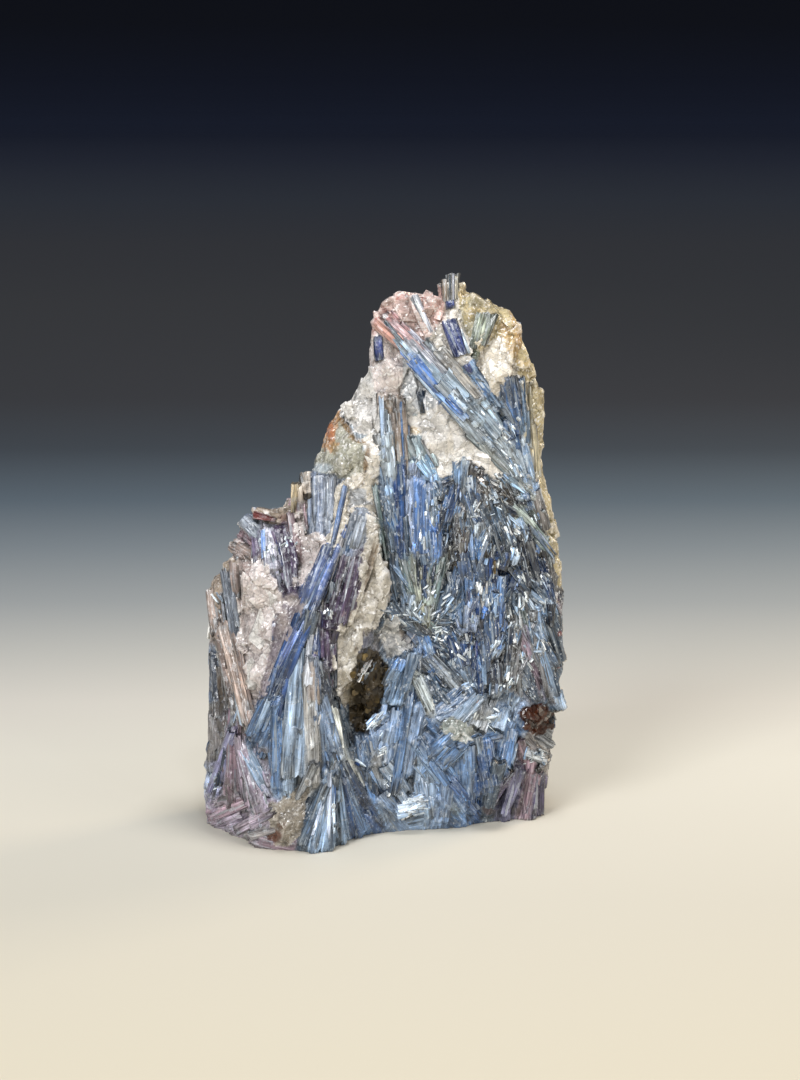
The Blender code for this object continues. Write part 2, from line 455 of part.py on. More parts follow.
def main():
    clear_scene()
    rng = random.Random(7)
    cluster = build_rock(rng)
    surface = surface_of(cluster)
    blades = [blade_shape(on_rock(surface, *foot), on_rock(surface, *tip), width, proud, rng)
              for foot, tip, width, *proud in BLADES]
    for side, row in AWAY.items():
        for foot, tip, width in row:
            ends = [on_far_side(surface, side, *end) for end in (foot, tip)]
            blades.append(blade_shape(*ends, width, (AWAY_PROUD[side], AWAY_PROUD[side]), rng))
    grow_on(cluster, [finish_mesh("blade", blade) for blade in blades])
    thin_out(cluster, FINISHED_TRIANGLES)
    cut_at_table(cluster)
    tidy(cluster)
    cluster.data.materials.clear()
    cluster.data.materials.append(kyanite_material())


main()
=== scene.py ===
import math
import random

import bmesh
import bpy
import numpy as np
from mathutils import Matrix, Vector, noise
from mathutils.bvhtree import BVHTree


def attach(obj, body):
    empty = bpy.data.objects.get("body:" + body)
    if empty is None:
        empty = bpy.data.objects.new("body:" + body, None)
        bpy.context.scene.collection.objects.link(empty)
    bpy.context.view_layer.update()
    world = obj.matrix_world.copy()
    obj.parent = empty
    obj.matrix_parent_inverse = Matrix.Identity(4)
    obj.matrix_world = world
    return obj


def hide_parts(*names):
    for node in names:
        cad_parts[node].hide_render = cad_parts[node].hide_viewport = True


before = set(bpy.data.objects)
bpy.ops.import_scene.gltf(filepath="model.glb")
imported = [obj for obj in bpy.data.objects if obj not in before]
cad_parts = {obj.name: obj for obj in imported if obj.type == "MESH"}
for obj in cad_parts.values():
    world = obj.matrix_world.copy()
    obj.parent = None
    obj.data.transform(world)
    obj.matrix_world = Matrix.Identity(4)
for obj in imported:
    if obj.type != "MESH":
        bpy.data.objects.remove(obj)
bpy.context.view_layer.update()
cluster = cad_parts["kyanite_cluster"]
mm = 0.001
noise.seed_set(7)  # noise_vector starts from the clock otherwise

# The show face is drawn in millimetres, u to the right and v up, as seen from 600 mm off and 12 degrees up
view = {"distance": 600.0, "elevation": 12.0, "centre": (3.75, 78.0), "height": 73.55, "shift": (0.29, 0.6),
        "lens": 80.0}
upright = Vector((0, math.sin(math.radians(view["elevation"])), math.cos(math.radians(view["elevation"]))))
lookAlong = Vector((0, upright.z, -upright.y))
middle = Vector((view["centre"][0] + view["shift"][0], view["shift"][1], view["height"]))
eye = middle - lookAlong * view["distance"]


def addObject(name, data):
    item = bpy.data.objects.new(name, data)
    bpy.context.scene.collection.objects.link(item)
    return item


def makeCamera():
    camera = bpy.data.cameras.new("studioCamera")
    camera.lens = view["lens"]
    camera.sensor_width = 36.0
    camera.clip_start = 0.01
    holder = addObject("studioCamera", camera)
    holder.location = eye * mm
    holder.rotation_euler = (math.radians(90.0 - view["elevation"]), 0, 0)
    bpy.context.scene.camera = holder


makeCamera()
print("camera stands", view["distance"], "mm off")


# Colour

def linearChannel(value):
    return value / 12.92 if value <= 0.04045 else ((value + 0.055) / 1.055) ** 2.4


def linear(code):
    return tuple(linearChannel(int(code[i:i + 2], 16) / 255) for i in (0, 2, 4))


# Kyanite tones: for each, the common shade and then its darker, lighter and greyer neighbours
tones = {
    # the near-white tones, frost and gleam, are painted glints: highlights of reflected light given as colour
    "cobalt": "3b6093 28497c 7496c6 5b78a8", "violet": "5a6d94 485a84 9ca6c8 878bab",
    "sky": "7c98c0 5a7cac acc0dc 93a8c2", "frostAndGlint": "d6dae3 b0b6c6 f0f2f6 cfcdd4",
    "ice": "b9c9da 94abc4 e2e9ef c2cad0", "silver": "93a4b5 73859c bfccd8 a6b1bb",
    "haze": "94a0ac 76828f bcc5cc a5a8aa", "pearl": "b0b4c0 9196a6 d6d9e0 bfbdc1",
    "mist": "8391a3 63748a acb8c4 96999e", "slate": "56636f 3a4551 77848f 686c6d",
    "steel": "657c97 48607e 90a4ba 808a94", "denim": "415a7c 2b4060 67829f 58657a",
    "indigo": "404b78 2f3860 66719e 545b7c", "ink": "2f3c4e 1b2430 4f5e73 40464c",
    "lavender": "837e93 6c6b8c b0aec2 979398", "lilac": "ae9da2 8a7d8a ccc3cb b0a8aa",
    "mauve": "9a8286 745f68 b9aab0 9a8f92", "plum": "50465c 362f44 756a82 635a64",
    "cream": "cac6ba a39e90 e6e3da b8b6ae", "straw": "b0a994 8c8570 d2ccb9 a5a294",
    "tan": "b1a69c 8c8077 d4cac0 a8a099", "taupe": "8f8680 6f665f b5aca5 9b958f",
    "umber": "5a5049 3b342e 857b70 6b655e", "ash": "9b9a98 77787a c6c5c0 a39f96",
    "rust": "8a583a 5f3823 b98963 93745f", "garnet": "7b4a48 562e2d b08886 87686a",
    "amber": "bb9b66 8c6f42 dcc8a0 ae9b7c", "royal": "3f5c8a 2c4170 7489b8 5c6d98",
    "azure": "5c7db4 44639c 8fabd4 7089b4", "linen": "b2aba2 908a82 cfcac2 a5a09a",
    "honey": "d0c6a8 a3895c e2d4b4 b5a88c", "rose": "c29e96 a17b74 e0cec8 c1aca6",
    "gleam": "eef5f9 dfe9f1 fafcfd e6ecf2", "aqua": "a9bac4 8a9fac cbd7dc b4bdbd",
    "moss": "8b938a 5d655c a5aba0 8b8c80",
}
toneForm = {"mix": (0.52, 0.22, 0.18, 0.08),  # how often a blade takes each shade of its tone
            "spread": 0.17, "drawnSpread": 0.05}


def commonTone(name):
    return linear(tones[name].split()[0])


def pickTone(name, rng, spread=toneForm["spread"]):
    # a drawn blade, with a spread of nothing, keeps to the common shade of its tone
    codes = tones[name].split()
    code = rng.choices(codes, toneForm["mix"])[0] if spread else codes[0]
    return Vector(linear(code)) * math.exp(rng.gauss(0, spread or toneForm["drawnSpread"]))


def stainedTone(base, colours, share):
    return base * (1 - share) + Vector(colours.mean(axis=0).tolist()) * share


def ownDraws(u, v):
    # what is drawn one by one has its own random numbers, so that a change to one leaves the others alone
    return random.Random(round(u * 10) * 2003 + round(v * 10))


def grainStart(rng, depth=0.0, span=400.0):
    # each blade's pattern starts somewhere else, this many millimetres about
    return Vector((rng.uniform(0, span), depth, rng.uniform(0, span)))


# The solid that everything is set on

def solidSkin():
    shape = bmesh.new()
    shape.from_mesh(cluster.data)
    bmesh.ops.remove_doubles(shape, verts=shape.verts, dist=1e-6)
    bmesh.ops.scale(shape, vec=Vector((1, 1, 1)) / mm, verts=shape.verts)
    return shape


skin = solidSkin()
solid = BVHTree.FromBMesh(skin)


def sight(u, v):
    onPlane = middle + Vector((u - view["centre"][0], 0, 0)) + upright * (v - view["centre"][1])
    return (onPlane - eye).normalized()


def drawnAt(point):
    away = point - eye
    onPlane = eye + away * (view["distance"] / away.dot(lookAlong)) - middle
    return onPlane.x + view["centre"][0], onPlane.dot(upright) + view["centre"][1]


def drawnGrid(points):
    toPoint = points - np.array(eye)
    depth = toPoint @ np.array(lookAlong)
    onPlane = toPoint * (view["distance"] / depth)[:, None] + np.array(eye) - np.array(middle)
    return onPlane[:, 0] + view["centre"][0], onPlane @ np.array(upright) + view["centre"][1]


def meet(u, v):
    hit, normal, _, _ = solid.ray_cast(eye, sight(u, v))
    return (hit, normal) if hit is not None else None


def beside(facing):
    # level and across, for a side or the back
    return Vector((abs(facing.y), abs(facing.x), 0))


def frameOn(axis, outward):
    along = axis.normalized()
    across = outward.cross(along).normalized()
    return Matrix((across, along.cross(across), along)).transposed()


# Small shapes that are repeated: kyanite blades, quartz chips and mica plates

kinds = {"blade": 26, "crumb": 12, "chip": 14, "plate": 6}  # how many of each are made, to be set many times
bladeShape = {"columns": (5, 8), "rows": (2, 3), "ridge": 0.11, "rough": 0.02, "sway": 0.35, "lean": 0.15,
              "sideDrop": (0.1, 0.3), "endDrop": (0.05, 0.25), "ragged": 0.07, "taper": (1.0, 0.9, 0.75, 0.5)}
chipShape = {"stray": 0.16, "reach": (0.36, 0.54), "flatTo": 14.0}
plateShape = {"sides": 6, "narrow": (0.6, 1.0), "cuts": 2, "cutAt": (0.2, 0.4)}


def ofKind(geom, kind):
    return [e for e in geom if isinstance(e, kind) and e.is_valid]


def unitBlade(rng):
    # a ribbed face with dropped sides and ragged ends, a unit wide and long, on a root a unit deep
    shape = bmesh.new()
    columns, rows = rng.randint(*bladeShape["columns"]), rng.randint(*bladeShape["rows"])
    bmesh.ops.create_grid(shape, x_segments=columns, y_segments=rows, size=0.5)
    standing = Matrix.Rotation(math.radians(90), 3, "X")
    bmesh.ops.rotate(shape, cent=(0, 0, 0), matrix=standing, verts=shape.verts)
    bmesh.ops.translate(shape, vec=Vector((0, 0, 0.5)), verts=shape.verts)
    lines = range(columns + 1)
    ridges = [rng.uniform(-bladeShape["ridge"], 0) for _ in lines]
    sway = [rng.uniform(-bladeShape["sway"], bladeShape["sway"]) / columns for _ in lines]
    raggedEnds = [[rng.uniform(0, bladeShape["ragged"]) for _ in lines] for _ in range(2)]
    sides = [rng.uniform(*bladeShape["sideDrop"]) for _ in range(2)]
    ends = [rng.uniform(*bladeShape["endDrop"]) for _ in range(2)]
    taper = rng.choice(bladeShape["taper"])
    lean = rng.uniform(-bladeShape["lean"], bladeShape["lean"])
    # rim marks the sides and ends, where the kyanite finish paints a highlight
    rim = shape.verts.layers.float.new("rim")
    for vertex in shape.verts:
        column = round((vertex.co.x + 0.5) * columns)
        height = vertex.co.z
        atSide, atEnd = column in (0, columns), abs(height - 0.5) > 0.49
        vertex.co.y = ridges[column] + rng.uniform(-bladeShape["rough"], bladeShape["rough"])
        vertex[rim] = float(atSide or atEnd)
        if atSide:
            vertex.co.y -= sides[column > 0]
        else:
            vertex.co.x += sway[column]
        if atEnd:
            top = int(height > 0.5)
            vertex.co.y -= ends[top]
            vertex.co.z += raggedEnds[top][column] * (-1 if top else 1)
        vertex.co.x = vertex.co.x * (1 + (taper - 1) * height) + lean * height
    made = bmesh.ops.extrude_face_region(shape, geom=shape.faces[:])["geom"]
    for vertex in ofKind(made, bmesh.types.BMVert):
        vertex.co.y = -1.0
        vertex[rim] = -4.0
    under = [f for f in shape.faces if all(v.co.y < -0.99 for v in f.verts)]
    bmesh.ops.dissolve_faces(shape, faces=under)
    return shape


def unitChip(rng):
    # an angular break: the hull of a few corners scattered over a ball
    shape = bmesh.new()
    bmesh.ops.create_icosphere(shape, subdivisions=1, radius=0.5)
    for vertex in shape.verts:
        stray = Vector([rng.gauss(0, chipShape["stray"]) for _ in range(3)])
        vertex.co = (vertex.co + stray).normalized() * rng.uniform(*chipShape["reach"])
    hull = bmesh.ops.convex_hull(shape, input=shape.verts)
    loose = ofKind(hull["geom_interior"] + hull["geom_unused"], bmesh.types.BMVert)
    bmesh.ops.delete(shape, geom=loose, context="VERTS")
    flat = math.radians(chipShape["flatTo"])
    bmesh.ops.dissolve_limit(shape, angle_limit=flat, verts=shape.verts, edges=shape.edges)
    return shape


def unitPlate(rng):
    # a six-sided sheet with pieces broken off it
    shape = bmesh.new()
    bmesh.ops.create_cone(shape, cap_ends=True, segments=plateShape["sides"], radius1=0.5, radius2=0.5,
                          depth=1)
    bmesh.ops.scale(shape, vec=Vector((1, rng.uniform(*plateShape["narrow"]), 1)), verts=shape.verts)
    for _ in range(plateShape["cuts"]):
        turn = rng.uniform(0, 2 * math.pi)
        facing = Vector((math.cos(turn), math.sin(turn), 0))
        geom = shape.verts[:] + shape.edges[:] + shape.faces[:]
        cut = bmesh.ops.bisect_plane(shape, geom=geom, plane_co=facing * rng.uniform(*plateShape["cutAt"]),
                                     plane_no=facing, clear_outer=True)
        bmesh.ops.contextual_create(shape, geom=ofKind(cut["geom_cut"], bmesh.types.BMEdge))
    standing = Matrix.Rotation(math.radians(-90), 3, "X")
    bmesh.ops.rotate(shape, cent=(0, 0, 0), matrix=standing, verts=shape.verts)
    return shape


def shapeSet(name, make, material):
    group = bpy.data.collections.new(name)
    rng = random.Random(name)
    for number in range(kinds[name]):
        shape = make(rng)
        bmesh.ops.recalc_face_normals(shape, faces=shape.faces)
        place = shape.verts.layers.float_vector.new("unitPlace")
        for vertex in shape.verts:
            vertex[place] = vertex.co
        mesh = bpy.data.meshes.new(f"{name}{number:02d}")
        shape.to_mesh(mesh)
        shape.free()
        mesh.materials.append(material)
        group.objects.link(bpy.data.objects.new(mesh.name, mesh))
    return group


def addNode(tree, kind, settings=None, links=None):
    node = tree.nodes.new(kind)
    for key, value in (settings or {}).items():
        if isinstance(key, int) or key in node.inputs:
            node.inputs[key].default_value = value
        else:
            setattr(node, key, value)
    for key, source in (links or {}).items():
        tree.links.new(source, node.inputs[key])
    return node


def settingTree(group):
    tree = bpy.data.node_groups.new(f"set {group.name}", "GeometryNodeTree")
    tree.interface.new_socket("Geometry", in_out="INPUT", socket_type="NodeSocketGeometry")
    tree.interface.new_socket("Geometry", in_out="OUTPUT", socket_type="NodeSocketGeometry")
    points = addNode(tree, "NodeGroupInput")
    shapes = addNode(tree, "GeometryNodeCollectionInfo", {"Collection": group, "Separate Children": True,
                                                          "Reset Children": True})
    layers = (("shape", "INT"), ("turn", "FLOAT_VECTOR"), ("size", "FLOAT_VECTOR"))
    which, turn, size = (addNode(tree, "GeometryNodeInputNamedAttribute", {"data_type": kind, "Name": key})
                         for key, kind in layers)
    metres = addNode(tree, "ShaderNodeVectorMath", {"operation": "SCALE", "Scale": mm}, {0: size.outputs[0]})
    stand = addNode(tree, "FunctionNodeEulerToRotation", {}, {0: turn.outputs[0]})
    placed = addNode(tree, "GeometryNodeInstanceOnPoints", {"Pick Instance": True},
                     {"Points": points.outputs[0], "Instance": shapes.outputs[0],
                      "Instance Index": which.outputs[0], "Rotation": stand.outputs[0],
                      "Scale": metres.outputs[0]})
    real = addNode(tree, "GeometryNodeRealizeInstances", {}, {0: placed.outputs[0]})
    addNode(tree, "NodeGroupOutput", {}, {0: real.outputs[0]})
    return tree


def newRow():
    return {"place": [], "turn": [], "size": [], "tone": [], "shift": [], "shape": []}


def readVectors(mesh, key):
    layer = mesh.attributes[key]
    values = np.empty(len(layer.data) * 3, dtype=np.float32)
    layer.data.foreach_get("vector", values)
    return values.reshape(-1, 3)


def writeVectors(mesh, key, values):
    layer = mesh.attributes.new(key, "FLOAT_VECTOR", "POINT")
    layer.data.foreach_set("vector", np.ascontiguousarray(values, dtype=np.float32).ravel())


def setRow(name, row, group):
    # every shape of a row is put in place by its point, and all of them become one mesh
    count = len(row["place"])
    points = bpy.data.meshes.new(name)
    points.vertices.add(count)
    points.vertices.foreach_set("co", np.array(row["place"], dtype=np.float32).ravel() * mm)
    for key, kind, field in (("turn", "FLOAT_VECTOR", "vector"), ("size", "FLOAT_VECTOR", "vector"),
                             ("shift", "FLOAT_VECTOR", "vector"), ("tone", "FLOAT_COLOR", "color"),
                             ("shape", "INT", "value")):
        layer = points.attributes.new(key, kind, "POINT")
        values = np.array(row[key], dtype=np.int32 if kind == "INT" else np.float32)
        layer.data.foreach_set(field, values.ravel())
    piece = addObject(name, points)
    setter = piece.modifiers.new("set in place", "NODES")
    setter.node_group = settingTree(group)
    graph = bpy.context.evaluated_depsgraph_get()
    piece.data = bpy.data.meshes.new_from_object(piece.evaluated_get(graph), preserve_all_data_layers=True,
                                                 depsgraph=graph)
    piece.modifiers.clear()
    settled = piece.data.attributes
    spots = readVectors(piece.data, "position")
    spots[:, 2] = np.maximum(spots[:, 2], 0)  # nothing reaches below the flat underside
    settled["position"].data.foreach_set("vector", spots.ravel())
    unit, size, shift = (readVectors(piece.data, key) for key in ("unitPlace", "size", "shift"))
    # the grain's second axis is the depth below the shape's face; the kyanite finish paints shade where it is
    # deep
    writeVectors(piece.data, "grain", unit * size + shift)
    for key in ("unitPlace", "size", "shift", "turn", "shape"):
        if key in settled:
            settled.remove(settled[key])
    print(name, count, "set,", sum(len(f.vertices) - 2 for f in piece.data.polygons), "triangles")
    return piece


def addShape(row, place, turn, size, tone, shape, shift=(0, 0, 0), sparkle=0.25):
    row["place"].append(tuple(place))
    row["turn"].append(tuple(turn.to_euler()))
    row["size"].append(size)
    row["tone"].append((*tone, sparkle))
    row["shift"].append(tuple(shift))
    row["shape"].append(shape)


# Materials

def newMaterial(name):
    material = bpy.data.materials.new(name)
    material.use_nodes = True
    tree = material.node_tree
    return material, tree, tree.nodes["Principled BSDF"]


def leaningNormal(tree, patterns):
    # every cell of a pattern leans its own way, as small flat breaks do
    normal = addNode(tree, "ShaderNodeNewGeometry").outputs["Normal"]
    for cells, share in patterns:
        even = addNode(tree, "ShaderNodeVectorMath", {"operation": "SUBTRACT", 1: (0.5, 0.5, 0.5)},
                       {0: cells.outputs["Color"]})
        lean = addNode(tree, "ShaderNodeVectorMath", {"operation": "SCALE", "Scale": share},
                       {0: even.outputs[0]})
        leant = addNode(tree, "ShaderNodeVectorMath", {"operation": "ADD"}, {0: normal, 1: lean.outputs[0]})
        normal = leant.outputs[0]
    return addNode(tree, "ShaderNodeVectorMath", {"operation": "NORMALIZE"}, {0: normal})


def stretchedPattern(tree, kind, place, scale, settings):
    # a pattern on a place in millimetres that is first scaled across, out and along
    at = addNode(tree, "ShaderNodeMapping", {"Scale": scale}, {"Vector": place.outputs["Vector"]})
    return addNode(tree, kind, settings, {"Vector": at.outputs[0]})


def shaded(tree, colour, pattern, dark, light, low=0.0, high=1.0):
    # a colour made darker where a pattern is low and lighter where it is high
    shade = addNode(tree, "ShaderNodeMapRange",
                    {"From Min": low, "From Max": high, "To Min": dark, "To Max": light}, {"Value": pattern})
    return addNode(tree, "ShaderNodeVectorMath", {"operation": "SCALE"},
                   {0: colour, "Scale": shade.outputs[0]})


# the glint colour is near white, mixed in as painted glints and painted highlights on the rims
kyaniteLook = {"veil": "c3cbd2", "glint": "eef3f6", "ior": 1.72, "gloss": (0.08, 0.36), "richness": 1.2,
               "scores": (2.4, 2.4, 0.15),  # hair-fine scores 0.4 mm apart and 7 mm long
               "fibres": (1.9, 1.9, 0.11),  # splinters 0.5 mm wide and 9 mm long
               "bands": (0.34, 0.34, 0.08),  # soft bands of colour 3 mm wide
               "partings": (0.09, 0.09, 0.3),  # cracks across the blade, 7 mm apart
               "glints": (4.6, 4.6, 1.5)}  # painted glints: bright specks 0.2 mm wide


def kyaniteGround(tree, grain, tone, scores, fibreTone, clouds):
    # the blade's own tone, scored and splintered along its length, banded across and veiled inside
    shade = addNode(tree, "ShaderNodeMapRange",
                    {"From Min": 0.33, "From Max": 0.7, "To Min": 0.25, "To Max": 1.95},
                    {"Value": scores.outputs["Fac"]})
    # the scores are deepest where the blades sparkle most
    vivid = addNode(tree, "ShaderNodeMath", {"operation": "MULTIPLY_ADD", 1: 0.45, 2: 0.55},
                    {0: tone.outputs["Alpha"]})
    scoreShade = addNode(tree, "ShaderNodeMix", {"data_type": "FLOAT", 2: 1.0},
                         {0: vivid.outputs[0], 3: shade.outputs[0]})
    scored = addNode(tree, "ShaderNodeVectorMath", {"operation": "SCALE"},
                     {0: tone.outputs["Color"], "Scale": scoreShade.outputs[0]})
    fibred = shaded(tree, scored.outputs[0], fibreTone.outputs[0], 0.62, 1.38)
    bands = stretchedPattern(tree, "ShaderNodeTexNoise", grain, kyaniteLook["bands"],
                             {"Scale": 1.0, "Detail": 2.0})
    banded = shaded(tree, fibred.outputs[0], bands.outputs["Fac"], 0.62, 1.3, low=0.35, high=0.65)
    # pale veils inside, and a pale splinter here and there
    veil = addNode(tree, "ShaderNodeMapRange",
                   {"From Min": 0.52, "From Max": 0.76, "To Min": 0.0, "To Max": 0.6},
                   {"Value": clouds.outputs["Fac"]})
    pale = addNode(tree, "ShaderNodeMapRange",
                   {"From Min": 0.9, "From Max": 0.93, "To Min": 0.0, "To Max": 0.55},
                   {"Value": fibreTone.outputs[1]})
    paler = addNode(tree, "ShaderNodeMath", {"operation": "MAXIMUM"},
                    {0: veil.outputs[0], 1: pale.outputs[0]})
    return addNode(tree, "ShaderNodeMix", {"data_type": "RGBA", 7: (*linear(kyaniteLook["veil"]), 1)},
                   {0: paler.outputs[0], 6: banded.outputs[0]})


def kyaniteCracksAndShade(tree, grain):
    # dark along the cracks that cross the blade, and painted shade down in the gaps between blades
    partings = stretchedPattern(tree, "ShaderNodeTexVoronoi", grain, kyaniteLook["partings"],
                                {"feature": "DISTANCE_TO_EDGE", "Scale": 0.5})
    parted = addNode(tree, "ShaderNodeMapRange",
                     {"From Min": 0.0, "From Max": 0.012, "To Min": 0.72, "To Max": 1.0},
                     {"Value": partings.outputs["Distance"]})
    depth = addNode(tree, "ShaderNodeSeparateXYZ", {}, {0: grain.outputs["Vector"]})
    paintedShade = addNode(tree, "ShaderNodeMapRange",
                  {"From Min": -0.9, "From Max": -0.15, "To Min": 0.18, "To Max": 1.0},
                  {"Value": depth.outputs["Y"]})
    return addNode(tree, "ShaderNodeMath", {"operation": "MULTIPLY"},
                   {0: parted.outputs[0], 1: paintedShade.outputs[0]})


def kyaniteBright(tree, grain, tone, rim, scores, clouds):
    # painted glints: bright specks, crowded where the inside is cloudy and the blade sparkles
    glints = stretchedPattern(tree, "ShaderNodeTexVoronoi", grain, kyaniteLook["glints"], {"Scale": 1.0})
    glintTone = addNode(tree, "ShaderNodeSeparateColor", {}, {0: glints.outputs["Color"]})
    more = addNode(tree, "ShaderNodeMath", {"operation": "MULTIPLY", 1: 0.12}, {0: tone.outputs["Alpha"]})
    crowded = addNode(tree, "ShaderNodeMath", {"operation": "MULTIPLY_ADD", 1: 0.6},
                      {0: clouds.outputs["Fac"], 2: more.outputs[0]})
    rolled = addNode(tree, "ShaderNodeMath", {"operation": "ADD"},
                     {0: glintTone.outputs[0], 1: crowded.outputs[0]})
    glint = addNode(tree, "ShaderNodeMapRange",
                    {"From Min": 1.37, "From Max": 1.39, "To Min": 0.0, "To Max": 0.75},
                    {"Value": rolled.outputs[0]})
    # a painted highlight, white on the rim, broken up where the scores are low
    edge = addNode(tree, "ShaderNodeMapRange",
                   {"From Min": 0.4, "From Max": 1.0, "To Min": 0.0, "To Max": 0.55},
                   {"Value": rim.outputs["Fac"]})
    highlightBreakup = addNode(tree, "ShaderNodeMapRange", {"From Min": 0.5, "From Max": 0.64},
                   {"Value": scores.outputs["Fac"]})
    paintedRimHighlight = addNode(tree, "ShaderNodeMath", {"operation": "MULTIPLY"},
                    {0: edge.outputs[0], 1: highlightBreakup.outputs[0]})
    return addNode(tree, "ShaderNodeMath", {"operation": "MAXIMUM"},
                   {0: glint.outputs[0], 1: paintedRimHighlight.outputs[0]})


def kyaniteFinish():
    # Kyanite, grown as flat blades: a glassy to pearly skin, scored along its length and clouded inside
    material, tree, surface = newMaterial("kyanite")
    grain, tone, rim = (addNode(tree, "ShaderNodeAttribute", {"attribute_name": key})
                        for key in ("grain", "tone", "rim"))
    scores = stretchedPattern(tree, "ShaderNodeTexNoise", grain, kyaniteLook["scores"],
                              {"Scale": 1.0, "Detail": 5.0, "Roughness": 0.66})
    fibres = stretchedPattern(tree, "ShaderNodeTexVoronoi", grain, kyaniteLook["fibres"], {"Scale": 1.0})
    fibreTone = addNode(tree, "ShaderNodeSeparateColor", {}, {0: fibres.outputs["Color"]})
    clouds = addNode(tree, "ShaderNodeTexNoise", {"Scale": 0.5, "Detail": 4.0, "Roughness": 0.62},
                     {"Vector": grain.outputs["Vector"]})
    veiled = kyaniteGround(tree, grain, tone, scores, fibreTone, clouds)
    # cracks and painted shade darken the colour, and painted glints and rim highlights are mixed in after
    cracksAndShade = kyaniteCracksAndShade(tree, grain)
    deepened = addNode(tree, "ShaderNodeVectorMath", {"operation": "SCALE"},
                       {0: veiled.outputs[2], "Scale": cracksAndShade.outputs[0]})
    bright = kyaniteBright(tree, grain, tone, rim, scores, clouds)
    final = addNode(tree, "ShaderNodeMix", {"data_type": "RGBA", 7: (*linear(kyaniteLook["glint"]), 1)},
                    {0: bright.outputs[0], 6: deepened.outputs[0]})
    richer = addNode(tree, "ShaderNodeGamma", {"Gamma": kyaniteLook["richness"]}, {0: final.outputs[2]})
    low, high = kyaniteLook["gloss"]
    gloss = addNode(tree, "ShaderNodeMapRange",
                    {"From Min": 0.3, "From Max": 0.7, "To Min": low, "To Max": high},
                    {"Value": clouds.outputs["Fac"]})
    broken = addNode(tree, "ShaderNodeTexVoronoi", {"Scale": 0.8}, {"Vector": grain.outputs["Vector"]})
    flats = leaningNormal(tree, ((fibres, 0.36), (broken, 0.35)))
    relief = addNode(tree, "ShaderNodeBump", {"Strength": 0.6, "Distance": 0.0001},
                     {"Height": scores.outputs["Fac"], "Normal": flats.outputs[0]})
    tree.links.new(richer.outputs[0], surface.inputs["Base Color"])
    tree.links.new(gloss.outputs[0], surface.inputs["Roughness"])
    tree.links.new(relief.outputs[0], surface.inputs["Normal"])
    surface.inputs["IOR"].default_value = kyaniteLook["ior"]
    return material


# the frost colour whitens cracks as frost, and edges and specks as painted highlights
quartzLook = {"frostAndGlint": "f6f3f0", "ior": 1.55, "gloss": (0.05, 0.24), "inside": 0.15,
              "radius": (1.0, 0.9, 0.8), "sink": 0.0012,  # how far light sinks in, in metres
              "cloud": 0.32,  # milky clouds 3 mm across
              "break": 0.3,  # flat breaks 3 mm across, with seams between them
              "sugar": 1.9,  # sugary grains 0.5 mm across
              "crack": 0.6}  # white cracks 1.7 mm apart


def quartzShade(tree, tint, rim, clouds, seams, sugarTone):
    # milky clouds in the tone of the place
    tinted = shaded(tree, tint.outputs["Color"], clouds.outputs["Fac"], 0.58, 1.2, low=0.32, high=0.68)
    # dark along the seams, painted shade in the folds, and uneven from grain to grain
    seam = addNode(tree, "ShaderNodeMapRange",
                   {"From Min": 0.0, "From Max": 0.03, "To Min": 0.52, "To Max": 1.0},
                   {"Value": seams.outputs["Distance"]})
    paintedFoldShade = addNode(tree, "ShaderNodeMapRange",
                   {"From Min": -0.9, "From Max": -0.2, "To Min": 0.6, "To Max": 1.0},
                   {"Value": rim.outputs["Fac"]})
    seamAndFoldShade = addNode(tree, "ShaderNodeMath", {"operation": "MULTIPLY"},
                       {0: seam.outputs[0], 1: paintedFoldShade.outputs[0]})
    sugarShade = addNode(tree, "ShaderNodeMapRange", {"To Min": 0.84, "To Max": 1.16},
                         {"Value": sugarTone.outputs[0]})
    seamShade = addNode(tree, "ShaderNodeMath", {"operation": "MULTIPLY"},
                        {0: sugarShade.outputs[0], 1: seamAndFoldShade.outputs[0]})
    return addNode(tree, "ShaderNodeVectorMath", {"operation": "SCALE"},
                   {0: tinted.outputs[0], "Scale": seamShade.outputs[0]})


def quartzFrostAndGlints(tree, tint, rim, clouds, cracks, sugarTone):
    # white frost in cracks, a painted highlight on edges and painted glints in specks, but only where the
    # quartz is pale
    crack = addNode(tree, "ShaderNodeMapRange",
                    {"From Min": 0.0, "From Max": 0.045, "To Min": 0.7, "To Max": 0.0},
                    {"Value": cracks.outputs["Distance"]})
    patchy = addNode(tree, "ShaderNodeMapRange", {"From Min": 0.42, "From Max": 0.6},
                     {"Value": clouds.outputs["Fac"]})
    frostAndGlint = addNode(tree, "ShaderNodeMath", {"operation": "MULTIPLY"},
                    {0: crack.outputs[0], 1: patchy.outputs[0]})
    edge = addNode(tree, "ShaderNodeMapRange",
                   {"From Min": 0.3, "From Max": 1.0, "To Min": 0.0, "To Max": 0.45},
                   {"Value": rim.outputs["Fac"]})
    paintedSpeck = addNode(tree, "ShaderNodeMapRange",
                    {"From Min": 0.9, "From Max": 0.92, "To Min": 0.0, "To Max": 0.8},
                    {"Value": sugarTone.outputs[1]})
    whiter = addNode(tree, "ShaderNodeMath", {"operation": "MAXIMUM"},
                     {0: frostAndGlint.outputs[0], 1: edge.outputs[0]})
    bright = addNode(tree, "ShaderNodeMath", {"operation": "MAXIMUM"},
                     {0: whiter.outputs[0], 1: paintedSpeck.outputs[0]})
    paleness = addNode(tree, "ShaderNodeRGBToBW", {}, {0: tint.outputs["Color"]})
    clear = addNode(tree, "ShaderNodeMapRange", {"From Min": 0.12, "From Max": 0.55},
                    {"Value": paleness.outputs[0]})
    return addNode(tree, "ShaderNodeMath", {"operation": "MULTIPLY"},
                   {0: bright.outputs[0], 1: clear.outputs[0]})


